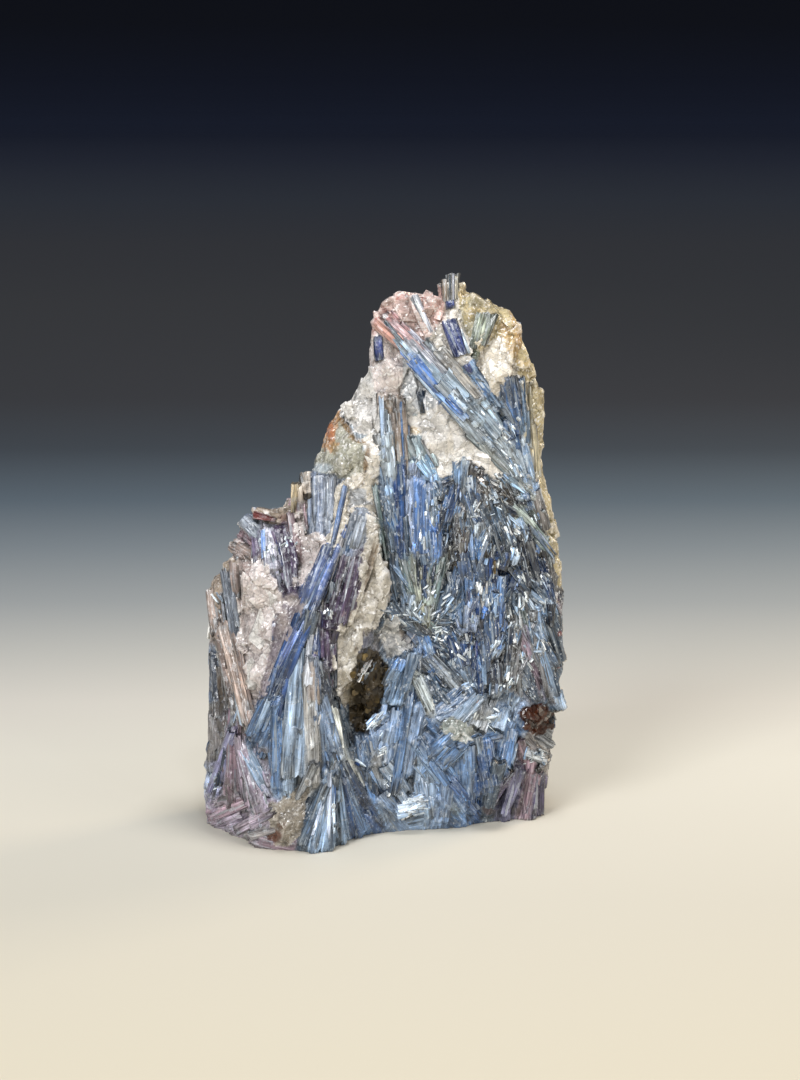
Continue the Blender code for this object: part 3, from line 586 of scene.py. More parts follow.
def quartzFinish():
    # Milky quartz, broken: glassy flats over a cloudy white inside that light sinks into
    material, tree, surface = newMaterial("milkyQuartz")
    tint, rim = (addNode(tree, "ShaderNodeAttribute", {"attribute_name": key}) for key in ("tone", "rim"))
    place = addNode(tree, "ShaderNodeTexCoord")
    inMm = addNode(tree, "ShaderNodeMapping", {"Scale": (1000, 1000, 1000)},
                   {"Vector": place.outputs["Object"]})
    stir = addNode(tree, "ShaderNodeTexNoise", {"Scale": 0.9, "Detail": 2.0}, {"Vector": inMm.outputs[0]})
    stirred = addNode(tree, "ShaderNodeVectorMath", {"operation": "ADD"},
                      {0: inMm.outputs[0], 1: stir.outputs["Color"]})
    breaks, sugar = (addNode(tree, "ShaderNodeTexVoronoi", {"Scale": quartzLook[key]},
                             {"Vector": stirred.outputs[0]}) for key in ("break", "sugar"))
    seams, cracks = (addNode(tree, "ShaderNodeTexVoronoi",
                             {"feature": "DISTANCE_TO_EDGE", "Scale": quartzLook[key]},
                             {"Vector": stirred.outputs[0]}) for key in ("break", "crack"))
    clouds = addNode(tree, "ShaderNodeTexNoise",
                     {"Scale": quartzLook["cloud"], "Detail": 6.0, "Roughness": 0.7, "Distortion": 0.6},
                     {"Vector": inMm.outputs[0]})
    sugarTone = addNode(tree, "ShaderNodeSeparateColor", {}, {0: sugar.outputs["Color"]})
    sugared = quartzShade(tree, tint, rim, clouds, seams, sugarTone)
    frostAndHighlights = quartzFrostAndGlints(tree, tint, rim, clouds, cracks, sugarTone)
    frostedAndHighlit = addNode(tree, "ShaderNodeMix", {"data_type": "RGBA", 7: (*linear(quartzLook["frostAndGlint"]), 1)},
                      {0: frostAndHighlights.outputs[0], 6: sugared.outputs[0]})
    low, high = quartzLook["gloss"]
    gloss = addNode(tree, "ShaderNodeMapRange",
                    {"From Min": 0.35, "From Max": 0.7, "To Min": low, "To Max": high},
                    {"Value": clouds.outputs["Fac"]})
    flats = leaningNormal(tree, ((breaks, 0.6), (sugar, 0.12)))
    tree.links.new(frostedAndHighlit.outputs[2], surface.inputs["Base Color"])
    tree.links.new(gloss.outputs[0], surface.inputs["Roughness"])
    tree.links.new(flats.outputs[0], surface.inputs["Normal"])
    surface.inputs["IOR"].default_value = quartzLook["ior"]
    surface.inputs["Subsurface Weight"].default_value = quartzLook["inside"]
    surface.inputs["Subsurface Radius"].default_value = quartzLook["radius"]
    surface.inputs["Subsurface Scale"].default_value = quartzLook["sink"]
    return material


micaLook = {"ior": 1.6, "gloss": 0.18, "flecks": 900.0}  # flecks about 1 mm across


def micaFinish():
    # Dark mica, split along its sheets: brown-black with a hard bright shine
    material, tree, surface = newMaterial("mica")
    tone = addNode(tree, "ShaderNodeAttribute", {"attribute_name": "tone"})
    place = addNode(tree, "ShaderNodeTexCoord")
    flecks = addNode(tree, "ShaderNodeTexNoise", {"Scale": micaLook["flecks"], "Detail": 4.0},
                     {"Vector": place.outputs["Object"]})
    toned = shaded(tree, tone.outputs["Color"], flecks.outputs["Fac"], 0.5, 1.6, low=0.35, high=0.7)
    tree.links.new(toned.outputs[0], surface.inputs["Base Color"])
    surface.inputs["IOR"].default_value = micaLook["ior"]
    surface.inputs["Roughness"].default_value = micaLook["gloss"]
    return material


kyanite, milkyQuartz, mica = kyaniteFinish(), quartzFinish(), micaFinish()
fineBlades = shapeSet("blade", unitBlade, kyanite)
crumbs = shapeSet("crumb", unitChip, kyanite)
chips = shapeSet("chip", unitChip, milkyQuartz)
plates = shapeSet("plate", unitPlate, mica)
print("small shapes:", kinds)

# Where the show face is quartz: its tone and the corners of the area
quartzTones = {
    "peach": "dcc0b8", "blush": "e2d6d2", "milk": "e8e4df", "pearl": "e2d9c9", "smoke": "bfc1c3",
    "sand": "f3ede3", "honey": "c8b890", "ochre": "ccbe98", "olive": "b4b2a2", "rusty": "c39c78",
    "fawn": "aba295", "rind": "a59585", "sea": "aab0ac", "leaf": "d2ccc1", "iron": "4c2c20",
    "clay": "958a90", "cave": "4b4130",
}
quartzAreas = [
    # crown
    ("peach", ((-4.8, 128.5), (-5, 133.5), (-3.7, 136.8), (0, 140.6), (4, 142.4), (10, 142.4),
        (14.8, 141.4), (15.4, 137), (14.6, 133), (12.6, 131.5), (11.2, 128.5), (8.6, 127), (5, 131),
        (1, 134.5), (-1, 133.5), (0, 131), (2, 128.5))),
    ("blush", ((-4.6, 112), (-4.8, 128.5), (-1, 128.8), (2, 128), (3.6, 125.5), (4.8, 124), (4.3, 119),
        (3.4, 114.5), (-1.6, 114.6))),
    ("smoke", ((4.7, 124.2), (6.5, 123), (8, 119.5), (10, 117.5), (12, 114.5), (13.4, 112.5),
        (11.5, 110.3), (9, 109.2), (7, 109.6), (6.2, 105), (5.2, 101), (5, 108), (4.6, 113.5),
        (4.2, 119))),
    ("milk", ((5.6, 103.8), (5.8, 108), (9, 109.8), (12, 110.8), (14.5, 112.3), (16.6, 109.2),
        (19, 106), (16, 100), (13.5, 96), (11.5, 99), (8.5, 104))),
    ("sand", ((16.5, 109.4), (21, 104.5), (26, 99), (30.5, 94.3), (27, 93.6), (24, 95.5), (22, 97.5),
        (19.6, 98.8), (17.2, 96), (16, 94), (13.4, 92.8), (12.6, 95), (15, 100))),
    ("honey", ((18.6, 142.4), (22, 141.4), (24.5, 139.4), (28, 139.4), (31.4, 137.6), (33.6, 134.5),
        (35.6, 129.5), (37, 124), (38, 120), (36.5, 117), (34.5, 118.5), (33, 121), (31.5, 124),
        (30, 127.5), (29, 130), (27, 128), (25, 125.5), (23.4, 124.6), (22.6, 126.5), (21, 128),
        (19.6, 131), (18.8, 134.5), (18, 138))),
    ("pearl", ((24, 124.8), (26.5, 127.4), (29, 130), (30, 127.5), (31.5, 124), (33, 121),
        (34.5, 118.5), (32, 118.6), (30.5, 119), (29.5, 116), (28.2, 113.6), (26, 116), (24.4, 119.5),
        (22.8, 121.6))),
    ("sand", ((12.4, 131), (14.6, 136), (15.2, 138.6), (18, 138.8), (18.8, 134.5), (19.6, 131),
        (21, 128), (22, 124), (20.5, 121.5), (17.4, 120.4), (14.4, 124), (11.6, 128.2))),
    ("clay", ((-27.8, 57), (-26.6, 62), (-24.6, 64.6), (-22, 64.6), (-19.6, 61.4), (-21.6, 57),
        (-24.6, 51.5), (-27.8, 44), (-29.6, 39.6), (-31.8, 37.6), (-30.4, 46), (-28.8, 52))),
    # shoulder
    ("milk", ((-1.6, 114.6), (-3.4, 120.4), (-5, 119.6), (-8, 119), (-8.6, 116), (-11.2, 114.2),
        (-12.6, 111.4), (-10.4, 108.8), (-8, 106.2), (-6, 104.4), (-3, 104.6), (-1.4, 104))),
    ("rusty", ((-12, 111.4), (-14.2, 109.4), (-16, 105.5), (-16.4, 101), (-13.4, 100), (-12, 102),
        (-12.2, 105.5), (-10.8, 108.6))),
    ("olive", ((-10.8, 108.6), (-12.2, 105.5), (-12, 102), (-13.4, 100), (-16.4, 101), (-18.4, 97),
        (-19.5, 95.6), (-15, 94.6), (-10, 93.2), (-6, 94), (-4.4, 96), (-4.6, 99.5), (-6.5, 102.5),
        (-8.4, 104.8))),
    ("sand", ((-4.6, 94), (-4.4, 99), (-6, 103), (-4.2, 104.8), (-1.4, 104.2), (-1, 99), (-1.2, 94.5),
        (-2.6, 93.2))),
    ("pearl", ((-13.6, 88.6), (-12.6, 91.4), (-9, 93.8), (-4.5, 94.8), (-2.2, 93.4), (-1.4, 91),
        (-1.6, 87), (-2.6, 84.6), (-4, 85), (-5.5, 86.4), (-7.6, 86), (-8.6, 83), (-10.6, 79),
        (-12.4, 75.5), (-14.5, 77.5), (-15.2, 79.8), (-13, 80.4), (-12.8, 85))),
    ("smoke", ((-9.6, 84.5), (-9, 91), (-5, 91), (-3.6, 86.6), (-6, 87), (-8, 86.4))),
    # ledge and the wall left of the prow
    ("blush", ((-23, 84.6), (-19.9, 86), (-19.6, 79.6), (-15.2, 79.6), (-14.5, 77), (-16.5, 73.5),
        (-18.8, 70), (-21, 66.5), (-23.6, 66), (-22, 72), (-23.6, 77))),
    ("rind", ((-34, 86), (-24, 88), (-22.8, 83.4), (-27, 81.8), (-31, 82.6))),
    ("blush", ((-37.4, 73), (-33.5, 73.8), (-31, 73.6), (-28.8, 70.5), (-26.4, 65.5), (-24.6, 62.5),
        (-27, 59.5), (-28.2, 56.5), (-28.8, 52), (-29.8, 46), (-31.5, 40), (-33, 36), (-34.4, 41),
        (-35.8, 48), (-37, 54), (-37.2, 62))),
    ("leaf", ((-4.8, 84.6), (-2.4, 84.8), (-1.2, 81), (-1.6, 77.5), (0.8, 71), (2.6, 66), (1, 62),
        (-1.4, 57.4), (-4.4, 54), (-7.2, 61), (-6.8, 66), (-6, 73), (-4.8, 79))),
    ("leaf", ((-5, 54.6), (-6.4, 50), (-7.6, 44), (-8.4, 37.6), (-10.8, 36), (-12.4, 40), (-12.8, 50),
        (-12.4, 55.3), (-9, 60), (-6.2, 62))),
    ("rind", ((-46, 66), (-44, 71), (-39.4, 75), (-36.8, 72.6), (-37.2, 66), (-39.6, 69), (-41.5, 64),
        (-42, 56), (-45, 56))),
    ("fawn", ((-29, 12), (-24, 14), (-18.8, 19), (-20, 10), (-21, 4), (-25, 1), (-29, 3))),
    # hollow, bulge and right foot
    ("cave", ((-9.2, 37.5), (-8, 45), (-6.4, 49.5), (-4.4, 51), (-1.4, 50.4), (0.4, 47), (0.4, 42),
        (-0.8, 37), (-2.4, 33), (-4, 30.5), (-7, 29.4), (-9, 33))),
    ("sea", ((13.8, 32.6), (16.4, 33.6), (19.6, 33), (22.6, 31), (22.6, 28.4), (20, 27.4), (17, 27.8),
        (14.6, 29))),
    ("iron", ((33.4, 34.8), (36, 37), (40, 36.8), (43, 35), (45, 32), (41, 30.2), (38, 29),
        (35, 30.3))),
    ("smoke", ((0.5, 48.6), (-1.5, 56.4), (1.6, 60), (4.4, 56), (7.4, 51.4), (6, 50.6))),
    # rim on the right
    ("ochre", ((37.2, 117), (41, 115), (41.6, 104), (41.6, 92), (43, 84), (45, 76), (47.4, 70),
        (46.8, 65), (43.2, 67), (41.8, 74), (40, 82), (38.4, 89), (37.6, 97), (36.6, 106))),
]
# Stains that lie over them, and a few painted highlights and painted shade in holes, as ovals: middle, half
# width and height, lean, colour, weight
stainsAndPaintedLight = [
    (-1.8, 133.5, 0.9, 0.9, 0, "b8564a", 0.8), (-2.8, 131, 0.8, 1.8, 0, "b4766a", 0.7),
    (0.4, 137.5, 2, 1.2, 20, "8f7468", 0.7), (0.6, 133.2, 0.4, 0.7, 30, "b04c40", 0.7),
    (3.4, 138.4, 0.5, 0.6, 0, "b86a5c", 0.7), (-3.4, 134.6, 0.5, 1, 0, "7d6a5c", 0.7),
    (3, 132, 5.5, 1.1, -48, "9c5d52", 0.8), (13.2, 136.5, 1.9, 4.4, 0, "d2aca2", 0.9),
    (5, 139, 1.2, 0.8, 0, "b87a70", 0.5), (33.4, 128.6, 0.8, 1.6, 0, "8a6238", 0.9),
    # the near-white oval at 29, 121.2 is a painted highlight on the broad face
    (34.2, 126, 0.7, 1, 0, "8a6238", 0.8), (29, 121.2, 1.6, 1, 20, "f4f2f0", 0.9),
    (32.6, 129, 3.2, 7, 20, "cba873", 0.7), (23, 137.5, 2.4, 1.2, 0, "8e8a76", 0.6),
    (21, 133, 2, 5, 10, "d2cdb4", 0.6), (27.4, 134, 2.6, 2.4, 0, "9b9678", 0.7),
    # the near-white oval at 24.4, 124 is a painted glint at the end of a blade
    (36, 109, 0.9, 6, 0, "bfba8e", 0.6), (24.4, 124, 0.8, 0.6, 0, "efeae4", 0.9),
    (-13.8, 105.5, 1.1, 2.8, 8, "c07c54", 0.9), (-9.8, 106.6, 0.8, 3.4, 38, "a07a4a", 0.8),
    (-6.8, 103, 2.6, 0.6, -20, "94703e", 0.8), (-4.6, 98, 0.7, 3.6, -6, "8a6a44", 0.8),
    (-12.6, 101, 1, 1.6, 0, "b09a70", 0.6), (-15.5, 96, 2.6, 1.2, 0, "c3ced6", 0.8),
    (-3.6, 107.5, 0.7, 2.4, 14, "6a6660", 0.8), (7.4, 105.4, 1.6, 0.9, -20, "d0b88e", 0.8),
    (17, 107, 1.6, 2, 0, "a6a6a4", 0.7), (-22, 76, 1.6, 4, 12, "a48488", 0.7),
    (-25, 83.6, 1.6, 1, 0, "8e6a66", 0.6), (-16.8, 60, 0.7, 1.5, 0, "a8584a", 0.9),
    (-4, 71, 0.5, 7, -10, "6c5a48", 0.8), (-2.4, 75, 0.4, 5, -12, "7a6750", 0.8),
    (-10, 59.5, 1.6, 1.2, 35, "6c3f3c", 0.8), (-9.4, 41, 1.6, 4, 10, "8c8068", 0.7),
    (-6.8, 52, 0.6, 2.4, -20, "6a5a44", 0.8), (-34.6, 71, 1.6, 1.6, 0, "b59c94", 0.7),
    (-28, 4, 2.2, 1.8, 0, "5e301c", 0.9), (-26, 6.6, 1.2, 1, 0, "5a3822", 0.8),
    (17.6, 30.6, 4, 2.2, -10, "9ea59c", 0.6), (8.6, 51.6, 0.7, 1.6, 0, "8f4630", 0.9),
    (5, 55, 1.4, 2, 0, "6e5c4e", 0.7), (43.6, 54.6, 0.5, 0.7, 0, "b23a26", 0.95),
    (43.2, 47, 0.9, 1.2, 0, "8a4a38", 0.9), (39, 34.6, 1.2, 1, 0, "7a4228", 0.8),
    # the four near-black ovals here are painted shade in the holes of the iron pocket
    (37.4, 31.6, 0.9, 0.8, 0, "2a1c17", 0.9), (41.6, 33.6, 0.8, 1, 0, "2a1c17", 0.9),
    (35.6, 33, 1, 1, 0, "2e201a", 0.9), (40.4, 32.2, 1.2, 0.7, 0, "2e201a", 0.8),
    (41, 98, 1.6, 4, 0, "6e5840", 0.8), (26, 10.6, 1.8, 1.6, 0, "85625c", 0.8),
    (33, 10, 1.2, 1.2, 0, "8a6a58", 0.7), (34, 43, 3, 4, 0, "7c7070", 0.6),
    (19.4, 77, 0.8, 4.6, 0, "6e5048", 0.7), (23.4, 95, 1.6, 1.4, 0, "54463c", 0.9),
    (43.6, 61, 0.8, 3, 0, "8e5a40", 0.7), (-1.6, 133, 0.5, 0.8, 30, "b8564a", 0.6),
    (2.6, 131.6, 0.6, 1, 40, "b8564a", 0.7), (4.6, 129.6, 0.6, 1.2, 45, "a8483e", 0.7),
    (9.6, 138.6, 0.5, 0.5, 0, "c0584c", 0.8), (-25.4, 58, 1.4, 3, 10, "c6b8b2", 0.6),
    (-23, 62.6, 1.6, 1.2, 0, "d4c8c2", 0.7), (-28.6, 45, 1, 4, 12, "b9a9a8", 0.6),
    (-1, 21.4, 3.6, 3.4, 20, "aaa8a6", 0.7), (4.4, 15, 4.6, 3.6, 0, "a6abb2", 0.6),
    (11.6, 16.4, 1.6, 4, 0, "8f98a2", 0.7), (17.6, 10.8, 1.6, 1.8, 0, "a6a88e", 0.6),
    (24.6, 22.6, 3.4, 4.6, 0, "3f5c84", 0.7), (9.6, 28, 1.2, 2.8, 20, "3c5876", 0.6),
    (-5.6, 20, 1.4, 5, 14, "34455c", 0.7), (0.6, 8.6, 4, 1.2, 6, "9aa2ac", 0.6),
    (-30, 24, 2.6, 3, 0, "9c9fa6", 0.6), (30, 25.6, 1, 4, 0, "5a7296", 0.6),
    (-21.6, 22, 4.4, 7, 0, "a3a9ac", 0.5), (12, 10, 1, 1.6, 0, "82705f", 0.6),
    (-6.4, 27, 1.8, 2, 0, "9a9a90", 0.6), (19, 24, 1.6, 3, 30, "8497ad", 0.5),
    (-39.5, 33.5, 1.6, 2.6, 0, "5e4038", 0.8), (-42.6, 44, 1, 6, 0, "4a3f40", 0.7),
    (-43.6, 60, 0.8, 1.6, 0, "a88a72", 0.7),
]
groundTone = {"front": "6f7d8c", "away": "8f9498", "milky": "cfc8bd", "rusty": "957455"}


def insideArea(u, v, corners):
    inside = np.zeros(len(u), dtype=bool)
    for (u0, v0), (u1, v1) in zip(corners, corners[1:] + corners[:1]):
        if v0 != v1:
            crosses = (v0 > v) != (v1 > v)
            inside ^= crosses & (u < u0 + (u1 - u0) * (v - v0) / (v1 - v0))
    return inside


def stainAt(points, fray=0.0):
    # the colour of the ground at each point, whether it is quartz, and how far a stain or painted highlight
    # or shade covers it
    u, v = drawnGrid(points)
    wave = np.array([tuple(noise.noise_vector(Vector(p) / 1.9)) for p in points.tolist()]) * fray
    colour = np.tile(np.array(linear(groundTone["front"])), (len(points), 1))
    quartz = np.zeros(len(points), dtype=bool)
    for name, corners in quartzAreas:
        inside = insideArea(u + wave[:, 0], v + wave[:, 1], corners)
        colour[inside] = linear(quartzTones[name])
        quartz |= inside
    cover = np.zeros(len(points))
    for cu, cv, ru, rv, lean, code, weight in stainsAndPaintedLight:
        turn = math.radians(lean)
        du, dv = u - cu, v - cv
        a = (du * math.cos(turn) + dv * math.sin(turn)) / ru
        b = (dv * math.cos(turn) - du * math.sin(turn)) / rv
        inside = np.clip((1.25 - np.sqrt(a * a + b * b)) / 0.5, 0, 1) * weight
        colour += (np.array(linear(code)) - colour) * inside[:, None]
        cover = np.maximum(cover, inside)
    return colour, quartz, cover


def quartzAt(point):
    return bool(stainAt(np.array([tuple(point)]))[1][0])


def stainAlong(lie, shares):
    return stainAt(np.array([tuple(lie[0].lerp(lie[1], share)) for share in shares]))


# Blades of the show face drawn one by one, from foot to tip: u, v, u, v, width, tone; those in gleam and
# frost are painted glints
blades = [
    # prow
    (-10, 91.4, -13.8, 73.5, 1.2, "sky"), (-13.4, 76.5, -20.2, 59.5, 4.4, "violet"),
    (-14.2, 74, -20.6, 60, 1.4, "sky"), (-19.8, 59.4, -28.4, 38.5, 4.8, "royal"),
    (-19.4, 60.6, -22.6, 53, 3.4, "denim"), (-20.2, 57, -27.4, 41, 0.8, "sky"),
    (-27.2, 46, -29, 39.4, 1.0, "sky"), (-27.4, 39, -32.6, 27.5, 4.8, "steel"),
    (-29, 38, -32.8, 29, 1.2, "haze"), (-20.8, 53, -23.2, 17, 5.4, "haze"),
    (-25.2, 34, -25.4, 15, 1.6, "haze"), (-19.2, 46, -17.8, 18, 2.9, "linen"),
    (-16.8, 44, -15.4, 20, 1.6, "mist"), (-26.8, 37, -26.9, 16, 3.0, "steel"),
    (-16.2, 47, -12.8, 34, 3.4, "ink"), (-15.2, 66, -14.4, 46, 2.2, "plum"),
    (-13, 68, -12.6, 40, 1.6, "ink"), (-15.6, 39, -11.4, 23.5, 2.4, "mist"),
    (-13.6, 37, -10.8, 27, 0.6, "cream"), (-12.8, 38, -8.6, 24, 1.6, "slate"),
    (-6.6, 85.2, -11.6, 68, 3.4, "haze"), (-5.4, 84, -8, 75, 2.2, "haze"),
    (-7.4, 80, -11.4, 69, 2.6, "steel"), (-8.2, 74, -12.8, 57, 5.2, "plum"),
    (-6.4, 72, -9.8, 60.5, 2.2, "plum"), (-10.8, 72, -14, 62, 2.0, "ink"),
    (-18, 60, -20.2, 51, 2.6, "slate"), (-16.9, 58, -17.4, 50, 1.4, "lavender"),
    # ledge
    (-16.6, 94, -16.8, 79.4, 3.4, "mist"), (-14, 94, -14.2, 82, 2.4, "haze"),
    (-19.3, 92.5, -19.5, 80, 1.0, "umber"), (-22.3, 91.8, -22.7, 85, 1.9, "honey"),
    (-20, 95, -19.6, 90, 2.0, "cream"), (-32.4, 80, -32.6, 71.5, 2.0, "lavender"),
    (-29.6, 81, -28.4, 72, 3.0, "pearl"), (-30.6, 80.4, -30.4, 73, 1.0, "sky"),
    (-26.4, 80.5, -23.6, 64.5, 2.8, "plum"), (-27.4, 80, -25.6, 70, 1.0, "indigo"),
    (-23.8, 85, -22.6, 76, 1.8, "lilac"), (-38.2, 77.3, -32.5, 73.5, 2.6, "taupe"),
    (-35.3, 83.3, -30.5, 78, 3.2, "haze"), (-36.6, 79.6, -32.4, 76.4, 1.8, "lilac"),
    (-33, 84.4, -26, 83, 1.6, "garnet"), (-28.2, 74, -25.4, 66, 1.0, "ice"),
    # left wall
    (-40.4, 71, -37.2, 50, 2.0, "haze"), (-38.8, 70, -36.6, 56, 1.2, "haze"),
    (-43.4, 66, -41.6, 54, 2.6, "tan"), (-40.2, 57.5, -34, 31, 3.2, "tan"),
    (-38.6, 57, -33, 33, 1.0, "taupe"), (-42.3, 59, -38.4, 36, 2.2, "taupe"),
    (-42.6, 50, -42.2, 39, 2.4, "mist"), (-41, 46, -40.6, 34, 2.0, "umber"),
    (-38, 73.2, -37, 62, 1.8, "taupe"), (-41.4, 38, -41.6, 29, 2.6, "umber"),
    (-41.9, 33.5, -42.2, 24.5, 2.6, "taupe"),
    # left foot
    (-37.8, 30, -43.8, 13.5, 2.4, "lavender"), (-38.6, 30.5, -42, 16, 1.4, "ink"),
    (-38, 30, -38.4, 11, 2.6, "mauve"), (-36.4, 28, -31.6, 10, 2.6, "lilac"),
    (-37, 29, -34.6, 12, 1.6, "lilac"), (-35, 26, -28.6, 15, 3.0, "haze"),
    (-35.5, 12.5, -44.4, 8.5, 2.8, "mauve"), (-36, 9, -43, 6, 2.0, "lilac"),
    (-38, 5, -28.5, 9.5, 2.6, "lilac"), (-43.4, 19, -44.6, 14, 2.4, "pearl"),
    (-34, 4, -27, 6, 2.0, "taupe"), (-43, 12, -36, 14, 1.6, "lilac"),
    # fan under the prow
    (-14.6, 17, -20.6, 1.5, 2.0, "slate"), (-14.4, 18, -17.8, 0.6, 2.0, "silver"),
    (-13.8, 20, -14.8, 0.8, 1.2, "frostAndGlint"), (-12.8, 19.6, -13.2, 1, 1.2, "denim"),
    (-12.6, 19, -11.6, 1.6, 1.6, "slate"), (-12, 18, -9.6, 2.8, 1.8, "silver"),
    (-11, 18, -7.4, 4, 1.8, "denim"), (-9.6, 18, -4.8, 5.4, 2.0, "steel"),
    (-8, 17, -3, 7, 2.0, "denim"), (-15.4, 13, -18.4, 3, 0.7, "frostAndGlint"),
    (-13, 15, -12.4, 4, 0.6, "gleam"), (-10.4, 22, -5, 12, 2.2, "ink"),
    (-17.4, 22, -22, 12, 2.2, "ash"),
    # hollow
    (6, 50, 2.6, 37, 5.0, "silver"), (3.6, 47, 0.4, 41, 2.4, "haze"),
    (7.8, 43.5, 11.8, 34.5, 2.2, "cream"), (11.6, 48.5, 19.4, 40, 2.2, "ash"),
    (10.8, 44, 15, 36.5, 2.4, "slate"), (1, 61.4, 4.4, 57, 3.0, "slate"), (1.8, 64, 4, 61, 2.0, "haze"),
    (5.6, 40, 1.8, 14, 3.8, "steel"), (8.8, 36, 5, 20, 3.0, "mist"), (3, 36, 0, 22, 2.0, "mist"),
    (-5, 30.4, 0.2, 35.6, 0.8, "gleam"), (-3.6, 30.6, 0.6, 34.4, 0.7, "gleam"),
    (-4.8, 31.8, -1.4, 35.2, 0.6, "ice"), (-6.8, 42.6, -3.4, 48, 0.8, "gleam"),
    (-5.6, 42.6, -2.8, 47, 0.6, "ice"), (-6.4, 44.4, -4, 48.2, 0.5, "gleam"),
    (-2.6, 30.6, -0.2, 32.4, 1.2, "ink"), (-1.6, 28.6, 0.6, 31, 0.6, "gleam"),
    (-7.4, 23.2, -5.2, 21.8, 0.8, "gleam"), (-7.2, 22.2, -5.4, 21, 0.7, "cobalt"),
    # bulge and right foot
    (8.6, 28, 20.4, 10, 2.4, "steel"), (7.4, 26, 16, 13, 1.4, "silver"),
    (10.5, 24, 17.5, 31, 2.6, "steel"), (13.6, 21.5, 20.6, 28.5, 2.6, "steel"),
    (24.6, 27.5, 26.4, 16.5, 4.4, "denim"), (20.4, 27, 21.2, 13, 3.6, "steel"),
    (22.6, 20, 22.6, 12, 2.4, "denim"), (31.4, 30.5, 29.6, 20, 2.8, "steel"),
    (32.8, 29, 31.4, 22, 1.4, "haze"), (12.6, 34, 19.6, 39.2, 3.6, "mist"),
    (10.6, 32.4, 14, 29, 2.4, "steel"), (18.6, 33.4, 23.6, 38.8, 3.8, "haze"),
    (23.6, 31, 26.4, 38.8, 4.2, "ash"), (27.6, 31, 30, 37, 3.6, "haze"),
    (31, 30.4, 32.6, 34.6, 2.4, "mist"), (22, 28.8, 29.4, 30, 2.8, "steel"),
    (22.8, 38, 24.2, 37, 0.9, "rust"), (35, 28.8, 38.4, 25.4, 2.4, "taupe"),
    (38.4, 28.6, 42, 26.2, 2.4, "ash"), (35.4, 24.8, 40.4, 22.8, 2.0, "ash"),
    (33.6, 27.6, 35.4, 21.6, 2.2, "mauve"), (41.4, 25, 39.4, 20.6, 2.0, "taupe"),
    (0.4, 21.4, 5, 14.6, 3.2, "haze"), (-0.8, 14, 3, 9.2, 3.4, "mist"),
    (10.6, 18.4, 11.6, 10.4, 3.0, "haze"), (-2.4, 22.4, -0.6, 15, 2.6, "ash"),
    (3.2, 9.2, 9.9, 10.5, 1.9, "ice"), (3.6, 10.6, 10, 12, 1.9, "gleam"),
    (4.8, 12, 10, 13.3, 1.7, "ice"), (15.6, 17, 14.4, 8, 2.8, "mist"), (17, 17, 23, 10, 2.2, "denim"),
    (28.6, 22, 25.4, 10, 2.8, "slate"), (33.4, 21, 30, 9, 3.0, "lavender"),
    (36.8, 20, 34.6, 8.8, 2.4, "mauve"), (38.6, 20, 38, 9, 2.2, "plum"),
    (31, 19, 26.4, 11, 1.8, "plum"),
    # column
    (-0.9, 114, -0.3, 98.5, 1.2, "mist"), (0.5, 113.6, 0.8, 98, 0.9, "haze"),
    (2, 113.6, 3, 100.5, 2.0, "taupe"), (3.9, 112.5, 4.4, 98, 0.9, "denim"),
    (0.2, 104, 1.4, 92, 2.4, "haze"), (2.4, 101, 3.6, 92, 1.6, "moss"),
    (3.2, 97, 4.2, 73.5, 3.4, "denim"), (2.4, 94, 3.6, 78, 1.2, "cobalt"),
    (-1, 96, 2.2, 76, 2.2, "haze"), (-2.6, 92, 0.6, 72, 1.4, "moss"), (6, 93.4, 6.2, 77, 2.0, "pearl"),
    (5.2, 84, 6, 74, 1.2, "slate"), (8.6, 93, 8.5, 74, 2.4, "sky"), (10.6, 92, 10.4, 75, 2.0, "sky"),
    (12, 90, 12.2, 82, 1.5, "silver"), (13.2, 82, 13.2, 73, 2.0, "sky"),
    (10.4, 82, 11, 74, 1.4, "haze"), (7.4, 103.8, 11.8, 94.2, 5.6, "aqua"),
    (7, 103, 10.4, 95.4, 0.6, "ice"), (9.4, 102.8, 12.4, 96.4, 0.6, "frostAndGlint"),
    # star
    (7.4, 73.5, 8.6, 61, 1.8, "straw"), (5.2, 74, 7.2, 60, 1.8, "moss"),
    (2.6, 73, 6, 60.5, 1.6, "haze"), (8.2, 75, 8.1, 65, 0.8, "ink"), (10, 74, 10, 65.5, 1.0, "cobalt"),
    (12.4, 74, 11.2, 64.4, 1.2, "ink"), (14.2, 73, 11.6, 60, 2.0, "moss"),
    (16.2, 69.6, 13, 59.6, 1.8, "slate"), (17.8, 63.6, 12.6, 58, 1.8, "silver"),
    (16.4, 61.4, 12.4, 58, 0.6, "gleam"), (17.4, 64, 14.4, 60, 0.6, "gleam"),
    (19, 62.6, 16, 60, 0.5, "gleam"), (14, 60.6, 11.6, 58.6, 0.5, "frostAndGlint"),
    (9.8, 64, 9.6, 57, 2.0, "straw"), (11.4, 62, 10.4, 57.4, 1.2, "straw"),
    (12.6, 58, 19.4, 57.8, 1.4, "slate"), (8, 56.4, 4, 51, 1.6, "taupe"),
    # dark fan
    (18.2, 97.4, 17.4, 91, 2.4, "silver"), (19.8, 97.8, 19.4, 91, 1.8, "haze"),
    (22.6, 95.8, 21.6, 93.4, 2.6, "umber"), (12.4, 91, 17.6, 93, 1.8, "ink"),
    (12.4, 89.4, 17.4, 91, 1.4, "ink"), (13, 87, 13.4, 81.6, 2.0, "ink"),
    (17.6, 91, 14.6, 82, 2.2, "denim"), (15.8, 87, 14.8, 80, 1.8, "steel"),
    (18.2, 92, 17.6, 80, 1.4, "ink"), (18.9, 90, 19, 86.6, 0.6, "frostAndGlint"),
    (19.4, 86.6, 19.2, 81, 1.4, "taupe"), (18.6, 80, 18.4, 71, 1.5, "umber"),
